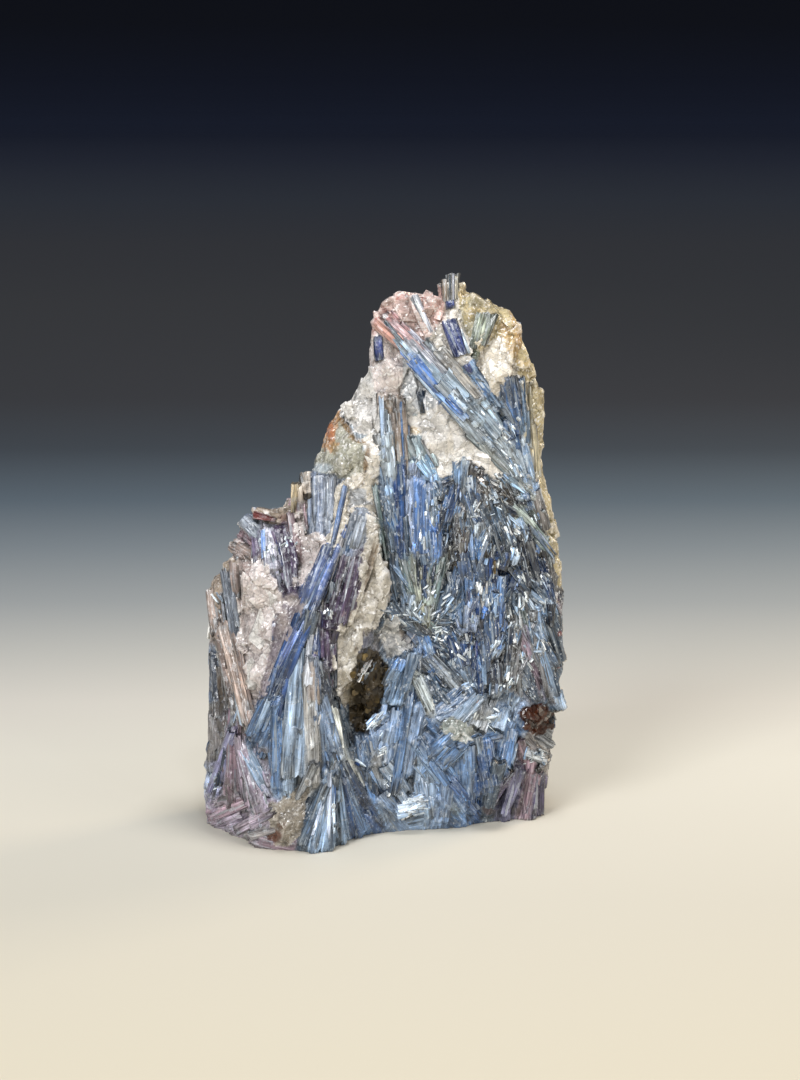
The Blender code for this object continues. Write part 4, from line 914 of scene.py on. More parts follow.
    (19.9, 79.6, 19.8, 71, 0.9, "garnet"), (20.6, 92, 20.6, 70, 1.2, "haze"),
    (21.8, 92.6, 22, 74, 1.3, "mist"), (23.6, 92, 23.2, 83, 1.8, "taupe"),
    (23.4, 82, 22.8, 76, 1.4, "ash"), (26, 82.6, 25.9, 75.6, 0.8, "frostAndGlint"),
    (25.6, 78, 23, 70.6, 0.8, "frostAndGlint"), (24.8, 80.4, 22.6, 75.8, 0.7, "ice"),
    (26.2, 77, 24.6, 70.6, 0.8, "ice"), (25.8, 88, 31, 73.4, 1.9, "slate"),
    (27.2, 80.6, 29.6, 73, 0.7, "ash"), (24.6, 90, 26.4, 84, 1.4, "umber"),
    (28.4, 85, 30.2, 81, 0.8, "gleam"), (29.8, 81.6, 31.4, 77, 0.8, "gleam"),
    (30, 84.8, 35.2, 80.4, 0.8, "gleam"), (27.4, 86.6, 31, 84.4, 0.6, "gleam"),
    (34.4, 80.6, 35.2, 77.4, 0.8, "ice"), (31.2, 82.6, 31.8, 78.6, 1.1, "ink"),
    (32.4, 80.8, 34, 78, 1.5, "silver"), (33.6, 77, 32.4, 72, 1.4, "gleam"),
    (32, 76, 31.4, 73, 0.8, "ice"), (35.6, 79.6, 34.6, 75, 0.7, "gleam"),
    (27.6, 87.4, 33.6, 84.4, 1.4, "ink"), (28.6, 89.6, 33.4, 85.4, 1.6, "umber"),
    (34, 85.6, 41, 76.6, 1.8, "moss"), (35.6, 82, 42.8, 72.6, 1.1, "haze"),
    (36.4, 82.4, 43, 74.4, 0.7, "pearl"), (37, 86.4, 38.4, 81.6, 2.0, "mist"),
    (33.4, 87.4, 37, 86.8, 0.8, "ink"), (35.4, 78, 38.6, 66, 2.2, "ink"),
    (38.4, 72.6, 41.6, 64.6, 1.8, "denim"), (40.6, 73, 43, 66, 1.6, "taupe"),
    # flank
    (25, 73.6, 25, 66.4, 1.8, "denim"), (26.4, 74, 26.4, 66.6, 1.2, "cobalt"),
    (27.3, 72.6, 27.3, 69, 0.5, "amber"), (23, 70.6, 23.4, 66, 1.4, "mist"),
    (20.6, 70, 20.8, 61.6, 1.8, "steel"), (18.6, 68, 18.4, 58, 1.9, "mist"),
    (20.8, 66, 20.9, 61.6, 0.9, "indigo"), (21.2, 61.2, 21.2, 56.2, 2.0, "pearl"),
    (21, 60, 21.1, 57, 0.9, "violet"), (22.9, 62.4, 22.9, 58, 0.8, "cobalt"),
    (22.8, 57.8, 22.8, 55.6, 1.0, "frostAndGlint"), (25.4, 64.6, 25.6, 57.6, 0.7, "frostAndGlint"),
    (26.4, 65.6, 26.4, 57, 1.4, "steel"), (27.6, 63.4, 27.2, 56.6, 0.8, "ice"),
    (28.6, 65, 28.4, 57, 1.3, "sky"), (30.6, 71.4, 28.6, 65.6, 1.8, "denim"),
    (33.8, 68, 32, 65, 0.7, "frostAndGlint"), (31.2, 70.8, 36.6, 63.6, 1.2, "slate"),
    (36, 68.4, 41, 60.6, 1.3, "haze"), (33.4, 66.4, 38.6, 60, 1.1, "ink"),
    (36.7, 63, 36.9, 60.2, 0.6, "frostAndGlint"), (31.6, 63.6, 34.4, 57, 1.4, "ink"),
    (37.6, 58, 40, 60, 1.5, "silver"), (41.4, 62, 41.4, 56, 1.8, "ink"),
    (30, 62.6, 31.6, 57, 1.4, "slate"), (34.4, 60.6, 35.6, 55, 1.2, "moss"),
    (16.4, 53.6, 18.6, 47, 2.4, "denim"), (19.6, 52.6, 20.2, 46, 2.2, "denim"),
    (22, 55, 22.4, 44, 2.6, "denim"), (22.6, 54, 22.9, 47, 0.9, "indigo"),
    (20.4, 55, 20.4, 52, 0.6, "frostAndGlint"), (15.4, 50.4, 17.2, 48, 0.6, "frostAndGlint"),
    (14, 49.6, 19.4, 42.6, 2.2, "slate"), (19.8, 45.6, 21.6, 41.4, 2.2, "haze"),
    (12.6, 55.6, 15.6, 51, 1.8, "moss"), (14.6, 56.6, 18, 53.6, 1.4, "slate"),
    (28.8, 51.6, 25.6, 47.4, 0.9, "gleam"), (27.6, 52.6, 25.2, 50, 0.6, "gleam"),
    (29.8, 54, 28.4, 50.6, 0.6, "ice"), (27, 47.2, 27.2, 42.4, 3.4, "ink"),
    (26.4, 43, 26.2, 39.4, 0.7, "haze"), (28, 43.4, 27.6, 38.6, 0.9, "frostAndGlint"),
    (24.6, 47, 24.8, 41, 1.2, "haze"), (30.8, 46.4, 30.2, 39, 0.9, "gleam"),
    (29.4, 45, 28.8, 40, 0.5, "gleam"), (32, 43.4, 30.6, 39.6, 0.6, "ice"),
    (29.2, 52, 30.4, 47.6, 1.2, "slate"), (31.6, 56, 30.6, 46, 1.4, "ink"),
    (33.6, 54, 32.4, 42, 1.8, "taupe"), (36.8, 57, 43.2, 38, 2.0, "haze"),
    (35.4, 52, 39.4, 38.6, 1.6, "mauve"), (38.8, 50.6, 41.6, 37.6, 1.7, "taupe"),
    (41, 58, 44, 47.4, 1.8, "slate"), (37.4, 60, 37, 54, 1.4, "taupe"),
    (22.4, 41, 19.2, 40, 0.9, "gleam"), (20.6, 42.4, 18.6, 41.6, 0.6, "gleam"),
    # sweep across the spire
    (5.6, 127.2, 19.4, 111, 2.2, "silver"), (7, 123.4, 13.4, 114.8, 3.0, "azure"),
    (6.4, 121.6, 11.6, 114.8, 0.7, "frostAndGlint"), (9.6, 121.6, 13.6, 116.4, 0.6, "indigo"),
    (12.6, 116.4, 20.4, 108.4, 2.2, "sky"), (15.6, 113, 19.8, 108.8, 1.2, "azure"),
    (8, 119.6, 14, 112.6, 0.9, "ice"), (6, 128, 16, 117, 2.0, "pearl"),
    (-0.4, 134.6, 8.8, 125.4, 1.8, "lilac"), (1.4, 135, 9, 127, 1.2, "mauve"),
    (-2.6, 132.8, 4, 126.8, 2.0, "rose"), (7.2, 139, 11.4, 129.4, 1.7, "pearl"),
    (7.4, 138.6, 11, 130.4, 0.6, "gleam"), (16, 132.8, 19.6, 124, 3.0, "indigo"),
    (18.6, 130.6, 20.8, 125, 0.9, "haze"), (20.2, 122, 21.2, 119.6, 1.6, "indigo"),
    (21, 121, 28.4, 110.6, 3.0, "steel"), (23, 118.6, 27.4, 111.6, 1.4, "denim"),
    (13, 126, 24, 113, 2.4, "ash"), (16, 123, 25.6, 110.6, 2.2, "haze"),
    (14.6, 120, 29, 103, 2.8, "silver"), (13.6, 116.8, 28, 101, 1.8, "haze"),
    (22, 113.5, 33.4, 98, 3.4, "silver"), (18, 110.6, 33.6, 93, 2.0, "haze"),
    (20.6, 105.4, 35.4, 90, 2.0, "aqua"), (23.6, 102.4, 37.6, 88.4, 1.6, "cream"),
    (30.8, 118.4, 33, 108, 3.4, "denim"), (32.8, 117, 34.4, 110, 1.2, "ink"),
    (28.6, 110, 31.4, 103, 2.6, "denim"), (27.4, 107.6, 30.6, 101.6, 1.2, "indigo"),
    (31.4, 107, 33, 102, 0.6, "ice"), (26.4, 111, 28.4, 107, 0.6, "frostAndGlint"),
    (33.8, 115, 34.6, 106, 1.8, "steel"), (35.6, 116, 36.4, 101, 1.8, "straw"),
    (30.4, 108, 33.8, 100, 2.4, "denim"), (31.4, 101, 34.2, 93.6, 3.0, "ice"),
    (33.6, 100, 35.4, 93.6, 1.2, "gleam"), (31.6, 97.6, 33.6, 93, 0.8, "gleam"),
    (34.6, 102, 37.6, 90.6, 2.2, "ice"), (36, 97, 37.4, 91, 0.7, "gleam"),
    (27.2, 112, 30.4, 107.6, 1.7, "steel"), (28.2, 111.6, 30.8, 106.4, 2.4, "steel"),
    (10.6, 127, 15, 121.4, 1.7, "haze"), (9, 115.2, 9.7, 109.6, 1.9, "ink"),
    (9.8, 114.6, 10.2, 110, 0.6, "frostAndGlint"), (-1.7, 128.6, -1, 122.8, 1.9, "indigo"),
    (24.9, 134.2, 22.9, 125.8, 3.6, "moss"), (26.1, 134.4, 24.3, 126.4, 3.4, "moss"),
    (27.2, 133.4, 25.4, 127, 0.7, "haze"), (24.2, 132.6, 22.8, 127.6, 0.5, "cream"),
    # crystals along the top
    (17, 144.6, 17, 136, 2.6, "ash"), (16.2, 144, 16.3, 136.6, 0.5, "slate"),
    (17.9, 143.6, 17.9, 136.6, 0.7, "cream"), (17.1, 144.6, 17.1, 137, 0.6, "pearl"),
    (16.2, 137.6, 16.8, 134.6, 2.0, "indigo"), (14.7, 142.8, 14.9, 136.6, 1.1, "tan"),
]
# Fields of finer blades that have no broad one of their own: the same figures
fields = [
    (28, 107, 33, 97, 3.0, "silver"), (35, 45, 41, 36, 3.0, "slate"), (15.4, 78, 15, 71, 2.0, "ink"),
    (8, 56, 16, 50, 2.0, "slate"), (9, 54, 13, 46, 2.0, "steel"), (8, 57, 3, 64, 2.0, "ash"),
    (6, 12, 3, 20, 3.0, "slate"), (29, 36, 34, 30, 3.0, "steel"), (-3, 20, 1, 10, 3.0, "slate"),
    (-6, 26, -2, 14, 3.0, "steel"), (12, 12, 16, 8, 3.0, "steel"), (-32, 25, -28, 6, 3.0, "lilac"),
    (-44, 14, -40, 6, 2.0, "lilac"), (-12, 30, -8, 18, 2.0, "cream"), (-33, 4, -24, 2, 2.5, "mauve"),
    (-36, 40, -34, 30, 2.0, "rust"), (-16, 62, -17, 50, 1.4, "violet"), (38, 95, 40, 80, 2.0, "tan"),
]


def bladeLie(u0, v0, u1, v1, whole=False):
    shares = (0.04, 0.27, 0.5, 0.73, 0.96) if whole else (0.12, 0.3, 0.5, 0.7, 0.88)
    spots = []
    for share in shares:
        found = meet(u0 + (u1 - u0) * share, v0 + (v1 - v0) * share)
        if found:
            spots.append((share, *found))
    if len(spots) < (5 if whole else 2):
        return None
    shares = np.array([s[0] for s in spots])
    depths = np.array([(s[1] - eye).length for s in spots])
    slope, start = np.polyfit(shares, depths, 1)
    steep = abs(slope) > 0.75 * math.hypot(u1 - u0, v1 - v0)
    if whole and (steep or np.ptp(depths - slope * shares) > fieldForm["unevenness"]):
        return None
    # brought forward until at least half of it lies on the skin or above it
    start -= max(0.0, float(np.median(start + slope * shares - depths)))
    foot = eye + sight(u0, v0) * start
    tip = eye + sight(u1, v1) * (start + slope)
    normal = sum((s[2] for s in spots), Vector())
    return foot, tip, (normal.normalized() + 2.0 * (eye - foot).normalized()).normalized()


bundleForm = {"bladeWidth": 3.0, "depth": 2.4, "overlap": (1.15, 1.45), "shortest": 1.0, "longer": 0.7,
              "lift": 0.3, "liftSpread": 0.14, "accentLift": 0.3, "quartzLift": 0.22, "crown": 0.5,
              "roll": 4.0, "sideRoll": 20.0, "yaw": 0.6, "paleEdge": 0.12, "toneSpread": 0.1,
              "broken": 0.07, "breakOver": 5.0, "gap": 0.01}


def bundle(row, lie, width, base, rng, lift=0.0, sparkle=0.25):
    # one blade, or a few side by side with a crown between them and here and there a break across
    form = bundleForm
    foot, tip, outward = lie
    axis = tip - foot
    length = axis.length
    turn = frameOn(axis, outward)
    across, out, along = turn.col[0], turn.col[1], turn.col[2]
    count = max(1, round(width / form["bladeWidth"] * rng.uniform(0.8, 1.3)))
    shift = grainStart(rng)
    for number in range(count):
        side = (number + 0.5) / count - 0.5
        stretches = [(0.0, 1.0)]
        if length > form["breakOver"] and rng.random() < form["broken"]:
            gap = rng.uniform(0.25, 0.75)
            stretches = [(0.0, gap), (gap + form["gap"], 1.0)]
        for low, high in stretches:
            rise = form["lift"] + lift + rng.gauss(0, form["liftSpread"]) - form["crown"] * side * side
            begin = length * low - (rng.uniform(0, form["longer"]) if low == 0 else 0)
            end = length * high + (rng.uniform(-2 * form["longer"], form["longer"]) if high == 1 else 0)
            spot = foot + across * side * width + out * rise + along * begin
            roll = Matrix.Rotation(math.radians(rng.gauss(0, form["roll"]) - side * form["sideRoll"]), 3, "Z")
            yaw = Matrix.Rotation(math.radians(rng.gauss(0, form["yaw"])), 3, "Y")
            size = (width / count * rng.uniform(*form["overlap"]), form["depth"],
                    max(form["shortest"], end - begin))
            pale = 1.0 + form["paleEdge"] * abs(side) * 2 if count > 2 else 1.0
            tint = base * pale * math.exp(rng.gauss(0, form["toneSpread"]))
            addShape(row, spot, turn @ yaw @ roll, size, tint, rng.randrange(kinds["blade"]),
                     shift + Vector((side * width, 0, begin)), sparkle)


fieldForm = {"tries": 10000, "u": (-47, 47), "v": (0, 141), "width": (0.9, 3.6), "keepClear": 0.93,
             "reach": 9.0, "nearest": 0.15, "edge": 0.45, "unevenness": 2.6, "stain": 0.75,
             "otherTone": 0.06, "others": ("ice", "slate", "ash", "mist")}
# The finer blades of each region: length, stray from their neighbours in degrees, lift, painted glitter,
# spread of shades, how light they are (red, green, blue), and the share that is left out
regionForm = {
    "spireBlades": {"length": (6, 18), "stray": 3, "lift": (-0.5, 0.1), "sparkle": 0.2, "spread": 0.2,
                    "light": (1.5, 1.46, 1.4), "thin": 0.0},
    "prowBlades": {"length": (6, 20), "stray": 3, "lift": (-0.6, 0.1), "sparkle": 0.25, "spread": 0.22,
                   "light": (1.2, 1.12, 1.12), "thin": 0.2},
    "footBlades": {"length": (4, 15), "stray": 7, "lift": (-0.85, -0.15), "sparkle": 0.5, "spread": 0.26,
                   "light": (1.3, 1.4, 1.54), "thin": 0.6},
    "slabBlades": {"length": (3, 13), "stray": 9, "lift": (-0.5, 0.15), "sparkle": 1.0, "spread": 0.36,
                   "light": (0.8, 0.92, 1.08), "thin": 0.0},
}
regions = {"spireBlades": lambda u, v: v > 97, "prowBlades": lambda u, v: u < -1.5 and v > 38,
           "footBlades": lambda u, v: v < 38, "slabBlades": lambda u, v: True}


def regionOf(u, v):
    return next(name for name, holds in regions.items() if holds(u, v))


# Narrow blades and bright accents stand alone, and the rest lead the finer blades round them
accents = ("honey", "indigo", "cobalt", "violet", "garnet", "amber", "rust", "frostAndGlint", "ink", "gleam")
drawnForm = {"narrow": 1.25, "narrowAccent": 2.1, "broad": 1.7, "stain": 0.5, "sparkle": 0.7}
leading = [row for row in blades
           if row[4] > drawnForm["narrowAccent" if row[5] in accents else "narrow"]] + fields
fieldEnds = np.array([row[:5] for row in leading])
broadBlades = np.array([row[4] > drawnForm["broad"] and row not in fields for row in leading])
fieldTones = [row[5] for row in leading]


def gapsTo(u, v):
    along = fieldEnds[:, 2:4] - fieldEnds[:, 0:2]
    share = np.clip((((u, v) - fieldEnds[:, 0:2]) * along).sum(axis=1) / (along ** 2).sum(axis=1), 0, 1)
    gap = np.linalg.norm(fieldEnds[:, 0:2] + along * share[:, None] - (u, v), axis=1)
    return gap - fieldEnds[:, 4] * fieldForm["edge"]


def withinOutline(u0, v0, u1, v1, width):
    # whether the specimen lies behind both long sides of a blade, so that none hangs out over its outline
    along = Vector((u1 - u0, v1 - v0)).normalized() * width * 0.42
    return all(meet(u0 + (u1 - u0) * share - side * along.y, v0 + (v1 - v0) * share + side * along.x)
               for share in (0.02, 0.5, 0.98) for side in (-1, 1))


def frontField(rows, rng):
    placed = 0
    for _ in range(fieldForm["tries"]):
        u, v = rng.uniform(*fieldForm["u"]), rng.uniform(*fieldForm["v"])
        if not meet(u, v) or rng.random() < regionForm[regionOf(u, v)]["thin"]:
            continue
        gaps = gapsTo(u, v)
        if gaps[broadBlades].min() < -fieldForm["nearest"] and rng.random() < fieldForm["keepClear"]:
            continue
        gaps = np.maximum(gaps, fieldForm["nearest"])
        pick = rng.choices(range(len(gaps)), 1.0 / gaps ** 3)[0]
        if gaps[pick] > fieldForm["reach"]:
            continue
        u0, v0, u1, v1 = fieldEnds[pick][:4]
        region = regionOf(u, v)
        form = regionForm[region]
        heading = math.atan2(v1 - v0, u1 - u0) + math.radians(rng.gauss(0, form["stray"]))
        length = min(rng.uniform(*form["length"]), 0.85 * math.hypot(u1 - u0, v1 - v0) + 1)
        du, dv = math.cos(heading) * length / 2, math.sin(heading) * length / 2
        lie = bladeLie(u - du, v - dv, u + du, v + dv, whole=True)
        if not lie:
            continue
        colour, quartz, cover = stainAlong(lie, (0.02, 0.35, 0.65, 0.98))
        if quartz.any():
            continue
        tone = fieldTones[pick]
        if rng.random() < fieldForm["otherTone"]:
            tone = rng.choice(fieldForm["others"])
        width = rng.uniform(*fieldForm["width"]) * rng.uniform(0.5, 1.0)
        if not withinOutline(u - du, v - dv, u + du, v + dv, width):
            continue
        base = pickTone(tone, rng, form["spread"]) * Vector(form["light"])
        base = stainedTone(base, colour, float(cover.mean()) * fieldForm["stain"])
        bundle(rows[region], lie, width, base, rng, rng.uniform(*form["lift"]), form["sparkle"])
        placed += 1
    print("field of fine blades:", placed, "of", fieldForm["tries"], "tries")


# Blades on the sides and the back, in patches that each have their own lean and tone
awayForm = {"tones": ("steel", "slate", "mist", "denim", "ash", "cobalt", "mauve", "cream"), "tries": 1500,
            "length": (7.0, 24.0), "width": (0.8, 4.0), "patch": 17.0, "lift": (-0.5, 0.2), "stray": 0.08,
            "sides": ((0, 1, 0), (-1, 0, 0), (1, 0, 0)), "shares": (0.64, 0.18, 0.18),
            "acrossBack": (-46, 46), "acrossSide": (-26, 25), "up": (2, 137), "from": 200.0,
            "unevenness": 2.5, "steepest": 0.8, "ownTone": 0.8, "cover": 0.5, "offStain": 0.93}


def awayStart(facing, across, up):
    return facing * awayForm["from"] + beside(facing) * across + Vector((0, 0, up))


def leaningUp(facing, lean):
    return Vector((0, 0, math.cos(lean))) + beside(facing) * math.sin(lean)


def patchTone(patch):
    return awayForm["tones"][int(patch.z * len(awayForm["tones"]) * 0.999)]


def awayLie(facing, across, up, lean, length):
    heading = leaningUp(facing, lean)
    start = awayStart(facing, across, up)
    spots = []
    for share in (-0.48, -0.24, 0.0, 0.24, 0.48):
        hit, normal, _, _ = solid.ray_cast(start + heading * length * share, -facing)
        if hit is None or hit.z < 0.6:
            return None
        spots.append((share, hit, normal))
    shares = np.array([s[0] for s in spots])
    heights = np.array([s[1].dot(facing) for s in spots])
    slope, level = np.polyfit(shares, heights, 1)
    uneven = np.ptp(heights - slope * shares) > awayForm["unevenness"]
    if uneven or abs(slope) > length * awayForm["steepest"]:
        return None
    level += max(0.0, float(np.median(heights - level - slope * shares)))
    ends = [start - facing * start.dot(facing) + heading * length * share + facing * (level + slope * share)
            for share in (-0.5, 0.5)]
    normal = sum((s[2] for s in spots), Vector())
    return ends[0], ends[1], (normal.normalized() + facing).normalized()


def shows(spot):
    # whether a spot on the skin is in sight from the front
    seen = meet(*drawnAt(spot))
    return bool(seen) and (seen[0] - spot).length < 2.0


def awayField(row, rng):
    sides = [Vector(side) for side in awayForm["sides"]]
    for _ in range(awayForm["tries"]):
        facing = rng.choices(sides, awayForm["shares"])[0]
        across = rng.uniform(*awayForm["acrossBack" if facing.y else "acrossSide"])
        up = rng.uniform(*awayForm["up"])
        hit, normal, _, _ = solid.ray_cast(awayStart(facing, across, up), -facing)
        if hit is None or normal.dot(facing) < 0.2:
            continue
        if facing.x and shows(hit):
            continue
        patch = awayPatch(hit)
        _, cover = awayStains(np.array([tuple(hit)]))
        if cover[0] > awayForm["cover"] and rng.random() < awayForm["offStain"]:
            continue
        lean = awayLean(patch) + rng.gauss(0, awayForm["stray"])
        lie = awayLie(facing, across, up, lean, rng.uniform(*awayForm["length"]))
        if not lie or facing.x and (shows(lie[0]) or shows(lie[1])):
            continue
        tone = patchTone(patch) if rng.random() < awayForm["ownTone"] else rng.choice(awayForm["tones"])
        width = rng.uniform(*awayForm["width"]) * rng.uniform(0.4, 1.0)
        bundle(row, lie, width, pickTone(tone, rng), rng, rng.uniform(*awayForm["lift"]))


# Bright slivers of cleavage, coloured near white as painted glints: middle of the patch, its reach, heading
# in degrees, stray and count
sliverPatches = [
    (30.5, 81, 2.4, -62, 12, 16), (34, 80, 2.4, -48, 16, 12), (33, 75, 2, 75, 20, 12),
    (25, 77, 2.2, 64, 10, 12), (28, 70, 3, 50, 30, 8), (17, 61.6, 2.2, 40, 10, 14),
    (27.6, 51.4, 1.8, 52, 14, 14), (30.4, 43, 2, 82, 16, 14), (21.4, 58.8, 1.4, 90, 8, 8),
    (26.6, 61.6, 2, 78, 16, 12), (34.4, 62, 3.4, 50, 50, 14), (34, 95, 2.4, -62, 14, 18),
    (31.4, 99, 2, -50, 12, 8), (22, 86, 3.6, 60, 60, 12), (-43.4, 17, 1.6, 62, 20, 12),
    (-14.2, 60, 1.2, 88, 16, 10), (-13.6, 52, 1.2, 84, 16, 10), (8.4, 58, 2, 50, 60, 10),
    (9, 61, 4, 80, 30, 16), (14, 57, 4, 20, 40, 16), (14, 52.6, 3, 40, 60, 12),
    (-2.6, 32.8, 1.6, 42, 12, 16), (-5, 45.4, 1.5, 56, 12, 14), (6.8, 11.4, 2.4, 12, 12, 26),
    (20.6, 41, 1.6, 10, 30, 8), (39, 84, 2.4, -50, 20, 8), (-30, 76, 2, 84, 16, 8),
    (9, 80, 5, 88, 6, 8), (-14.4, 10, 3, 78, 12, 10), (37, 47, 3, -60, 30, 8),
    (24.6, 112, 6, -50, 12, 6), (29, 104.4, 4, -50, 16, 34), (33, 97, 2.4, -58, 12, 16),
    (8, 122, 2, -48, 8, 6), (38, 62, 3, -55, 30, 14), (40, 52, 3, -65, 30, 12),
    (36, 70, 3, -50, 30, 14), (24, 66, 2.4, 85, 10, 12), (30, 58, 3, 80, 20, 14),
    (13, 66, 2.6, 70, 20, 14), (20, 50, 3, 70, 30, 10), (12, 86, 4, 88, 6, 10),
    (26, 88, 4, -60, 40, 16), (34, 50, 3, -70, 30, 10), (38, 24, 3, 20, 60, 14),
    (27, 33, 3, -30, 40, 8), (0, 17, 3, 60, 50, 8), (-24, 78, 2, 80, 40, 8), (2, 60, 2.4, -40, 40, 10),
    (-0.6, 25.4, 1.8, 60, 50, 8), (39.6, 68, 2.4, -60, 30, 8), (30, 92, 4, -45, 20, 8),
    (-40, 62, 3, -80, 14, 8),
]
sliverForm = {"width": (0.3, 0.85), "length": (1.0, 3.6), "lift": (0.35, 0.7), "depth": 1.2, "roll": 0.2,
              "tones": ("gleam", "gleam", "ice")}


def sliverField(row, rng):
    for middleU, middleV, reach, heading, stray, count in sliverPatches:
        for _ in range(count):
            u, v = rng.gauss(middleU, reach / 2), rng.gauss(middleV, reach / 2)
            angle = math.radians(rng.gauss(heading, stray))
            half = rng.uniform(*sliverForm["length"]) / 2 * min(1.0, 0.3 + reach / 4)
            du, dv = math.cos(angle) * half, math.sin(angle) * half
            width = rng.uniform(*sliverForm["width"])
            if not withinOutline(u - du, v - dv, u + du, v + dv, width):
                continue
            lie = bladeLie(u - du, v - dv, u + du, v + dv)
            if not lie:
                continue
            foot, tip, outward = lie
            turn = frameOn(tip - foot, outward) @ Matrix.Rotation(rng.gauss(0, sliverForm["roll"]), 3, "Z")
            spot = foot + turn.col[1] * rng.uniform(*sliverForm["lift"])
            tone = pickTone(rng.choice(sliverForm["tones"]), rng)
            addShape(row, spot, turn, (width, sliverForm["depth"], (tip - foot).length), tone,
                     rng.randrange(kinds["blade"]), grainStart(rng), 1.0)


crumbForm = {"count": 420, "tries": 2520, "u": (11, 46), "v": (10, 94), "size": (1.0, 2.8), "sink": 0.4,
             "depth": 0.8, "length": (1.2, 2.4), "yaw": 0.35, "pitch": 0.3, "toneSpread": 0.25, "lowest": 3,
             "fromBlades": -0.3, "fromOutline": 1.6, "facing": 0.35}


def crumbField(row, rng):
    # short broken ends and flakes where the blades of the slab were crushed
    form = crumbForm
    for _ in range(form["tries"]):
        if len(row["place"]) >= form["count"]:
            break
        u, v = rng.uniform(*form["u"]), rng.uniform(*form["v"])
        found = meet(u, v)
        if not found or regionOf(u, v) not in ("slabBlades", "footBlades"):
            continue
        hit, normal = found
        gaps = gapsTo(u, v)
        inside = meet(u + form["fromOutline"], v) and meet(u - form["fromOutline"], v)
        if not inside or gaps[broadBlades].min() < form["fromBlades"] or quartzAt(hit):
            continue
        toEye = eye - hit
        if hit.z < form["lowest"] or normal.dot(toEye) < form["facing"] * toEye.length:
            continue
        size = rng.uniform(*form["size"]) * rng.uniform(0.5, 1.0)
        nearest = int(gaps.argmin())
        u0, v0, u1, v1 = fieldEnds[nearest][:4]
        turn = frameOn(Vector((u1 - u0, 0, 0)) + upright * (v1 - v0), normal)
        turn = turn @ Matrix.Rotation(rng.gauss(0, form["yaw"]), 3, "Y")
        turn = turn @ Matrix.Rotation(rng.gauss(0, form["pitch"]), 3, "X")
        tone = pickTone(fieldTones[nearest], rng) * math.exp(rng.gauss(0, form["toneSpread"]))
        # set a little deeper, so that a little more shade is painted on it
        shift = grainStart(rng, -0.1)
        spot = hit - normal * size * form["sink"]
        addShape(row, spot, turn, (size, size * form["depth"], size * rng.uniform(*form["length"])), tone,
                 rng.randrange(kinds["crumb"]), shift, 1.0)


# Broad broken faces of the quartz: both ends, width and tone
quartzFlats = [
    (28.4, 128.5, 28.6, 115.5, 8.0, "pearl"), (32.6, 131, 35.4, 120, 4.0, "honey"),
    (20.4, 138, 21, 131, 3.6, "honey"), (28.6, 136.4, 31.4, 131.4, 4.2, "honey"),
    (25.6, 138.6, 27, 134.6, 3.4, "honey"), (13, 140.4, 13.2, 132, 3.4, "peach"),
    (9.4, 139.6, 10.4, 133, 3.0, "peach"), (5, 139.4, 7, 133.4, 3.4, "blush"),
    (1.2, 138.6, 4, 133.5, 2.8, "peach"), (-2.6, 135.6, -1.6, 131, 2.4, "peach"),
    (0.2, 124.5, 2, 116, 5.0, "blush"), (-2.8, 127.6, -3, 118, 2.2, "blush"),
    (6.6, 121.6, 7.2, 113, 4.2, "smoke"), (9.6, 108.6, 12, 104, 5.0, "milk"),
    (16, 108.4, 20, 99.5, 6.4, "milk"), (22, 102, 26.6, 95.6, 5.4, "sand"),
    (13.4, 100.6, 16, 96, 3.0, "sand"), (-5.6, 118.4, -5, 112, 3.8, "milk"),
    (-9.4, 113, -8, 107.6, 4.2, "milk"), (-5.4, 110, -3.8, 105.6, 3.6, "milk"),
    (-2.6, 116, -2.4, 107, 2.4, "milk"), (-6.4, 90.8, -6, 85.4, 5.2, "smoke"),
    (-10.8, 90, -12, 82, 3.0, "pearl"), (-11.4, 84, -10.4, 78, 2.8, "pearl"),
    (-3, 93, -2.6, 87, 2.6, "pearl"), (-7.6, 93.4, -3.6, 93.8, 2.2, "pearl"),
    (-21.6, 83, -20.6, 76, 2.8, "blush"), (-17.6, 79, -16.4, 74, 3.2, "blush"),
    (-31, 73, -30, 64.5, 6.6, "blush"), (-34.6, 70, -35, 58, 3.8, "blush"),
    (-27.6, 66, -28.2, 60, 3.6, "milk"), (-31.4, 62, -32, 50, 5.6, "milk"),
    (-32.8, 49, -33.6, 39, 3.4, "milk"), (-2.4, 75.4, -0.6, 63.4, 4.6, "leaf"),
    (-3.4, 64, -5.4, 55.6, 4.2, "leaf"), (-8.8, 57, -10, 41, 3.4, "leaf"),
    (-6.8, 59.6, -6.6, 50, 2.8, "leaf"), (35.4, 35.4, 38, 31.4, 3.4, "iron"),
    (39, 35.6, 41.6, 31.6, 3.0, "iron"), (18, 70.6, 19, 68.4, 2.6, "blush"),
    (24.2, 65, 24.2, 57.6, 1.8, "smoke"), (25.6, 53, 25.6, 47, 2.2, "smoke"),
    (36.8, 74.2, 37, 71, 2.0, "olive"), (42.6, 65.4, 42.8, 62.6, 1.8, "milk"),
]
chipForm = {"count": 190, "tries": 2280, "u": (-47, 47), "v": (0, 143), "size": (2.2, 6.0), "sink": 0.62,
            "rim": 0.38, "fromBlades": 0.6, "flatOver": 1.15, "flatDeepest": 4.0, "flatSink": 0.26}


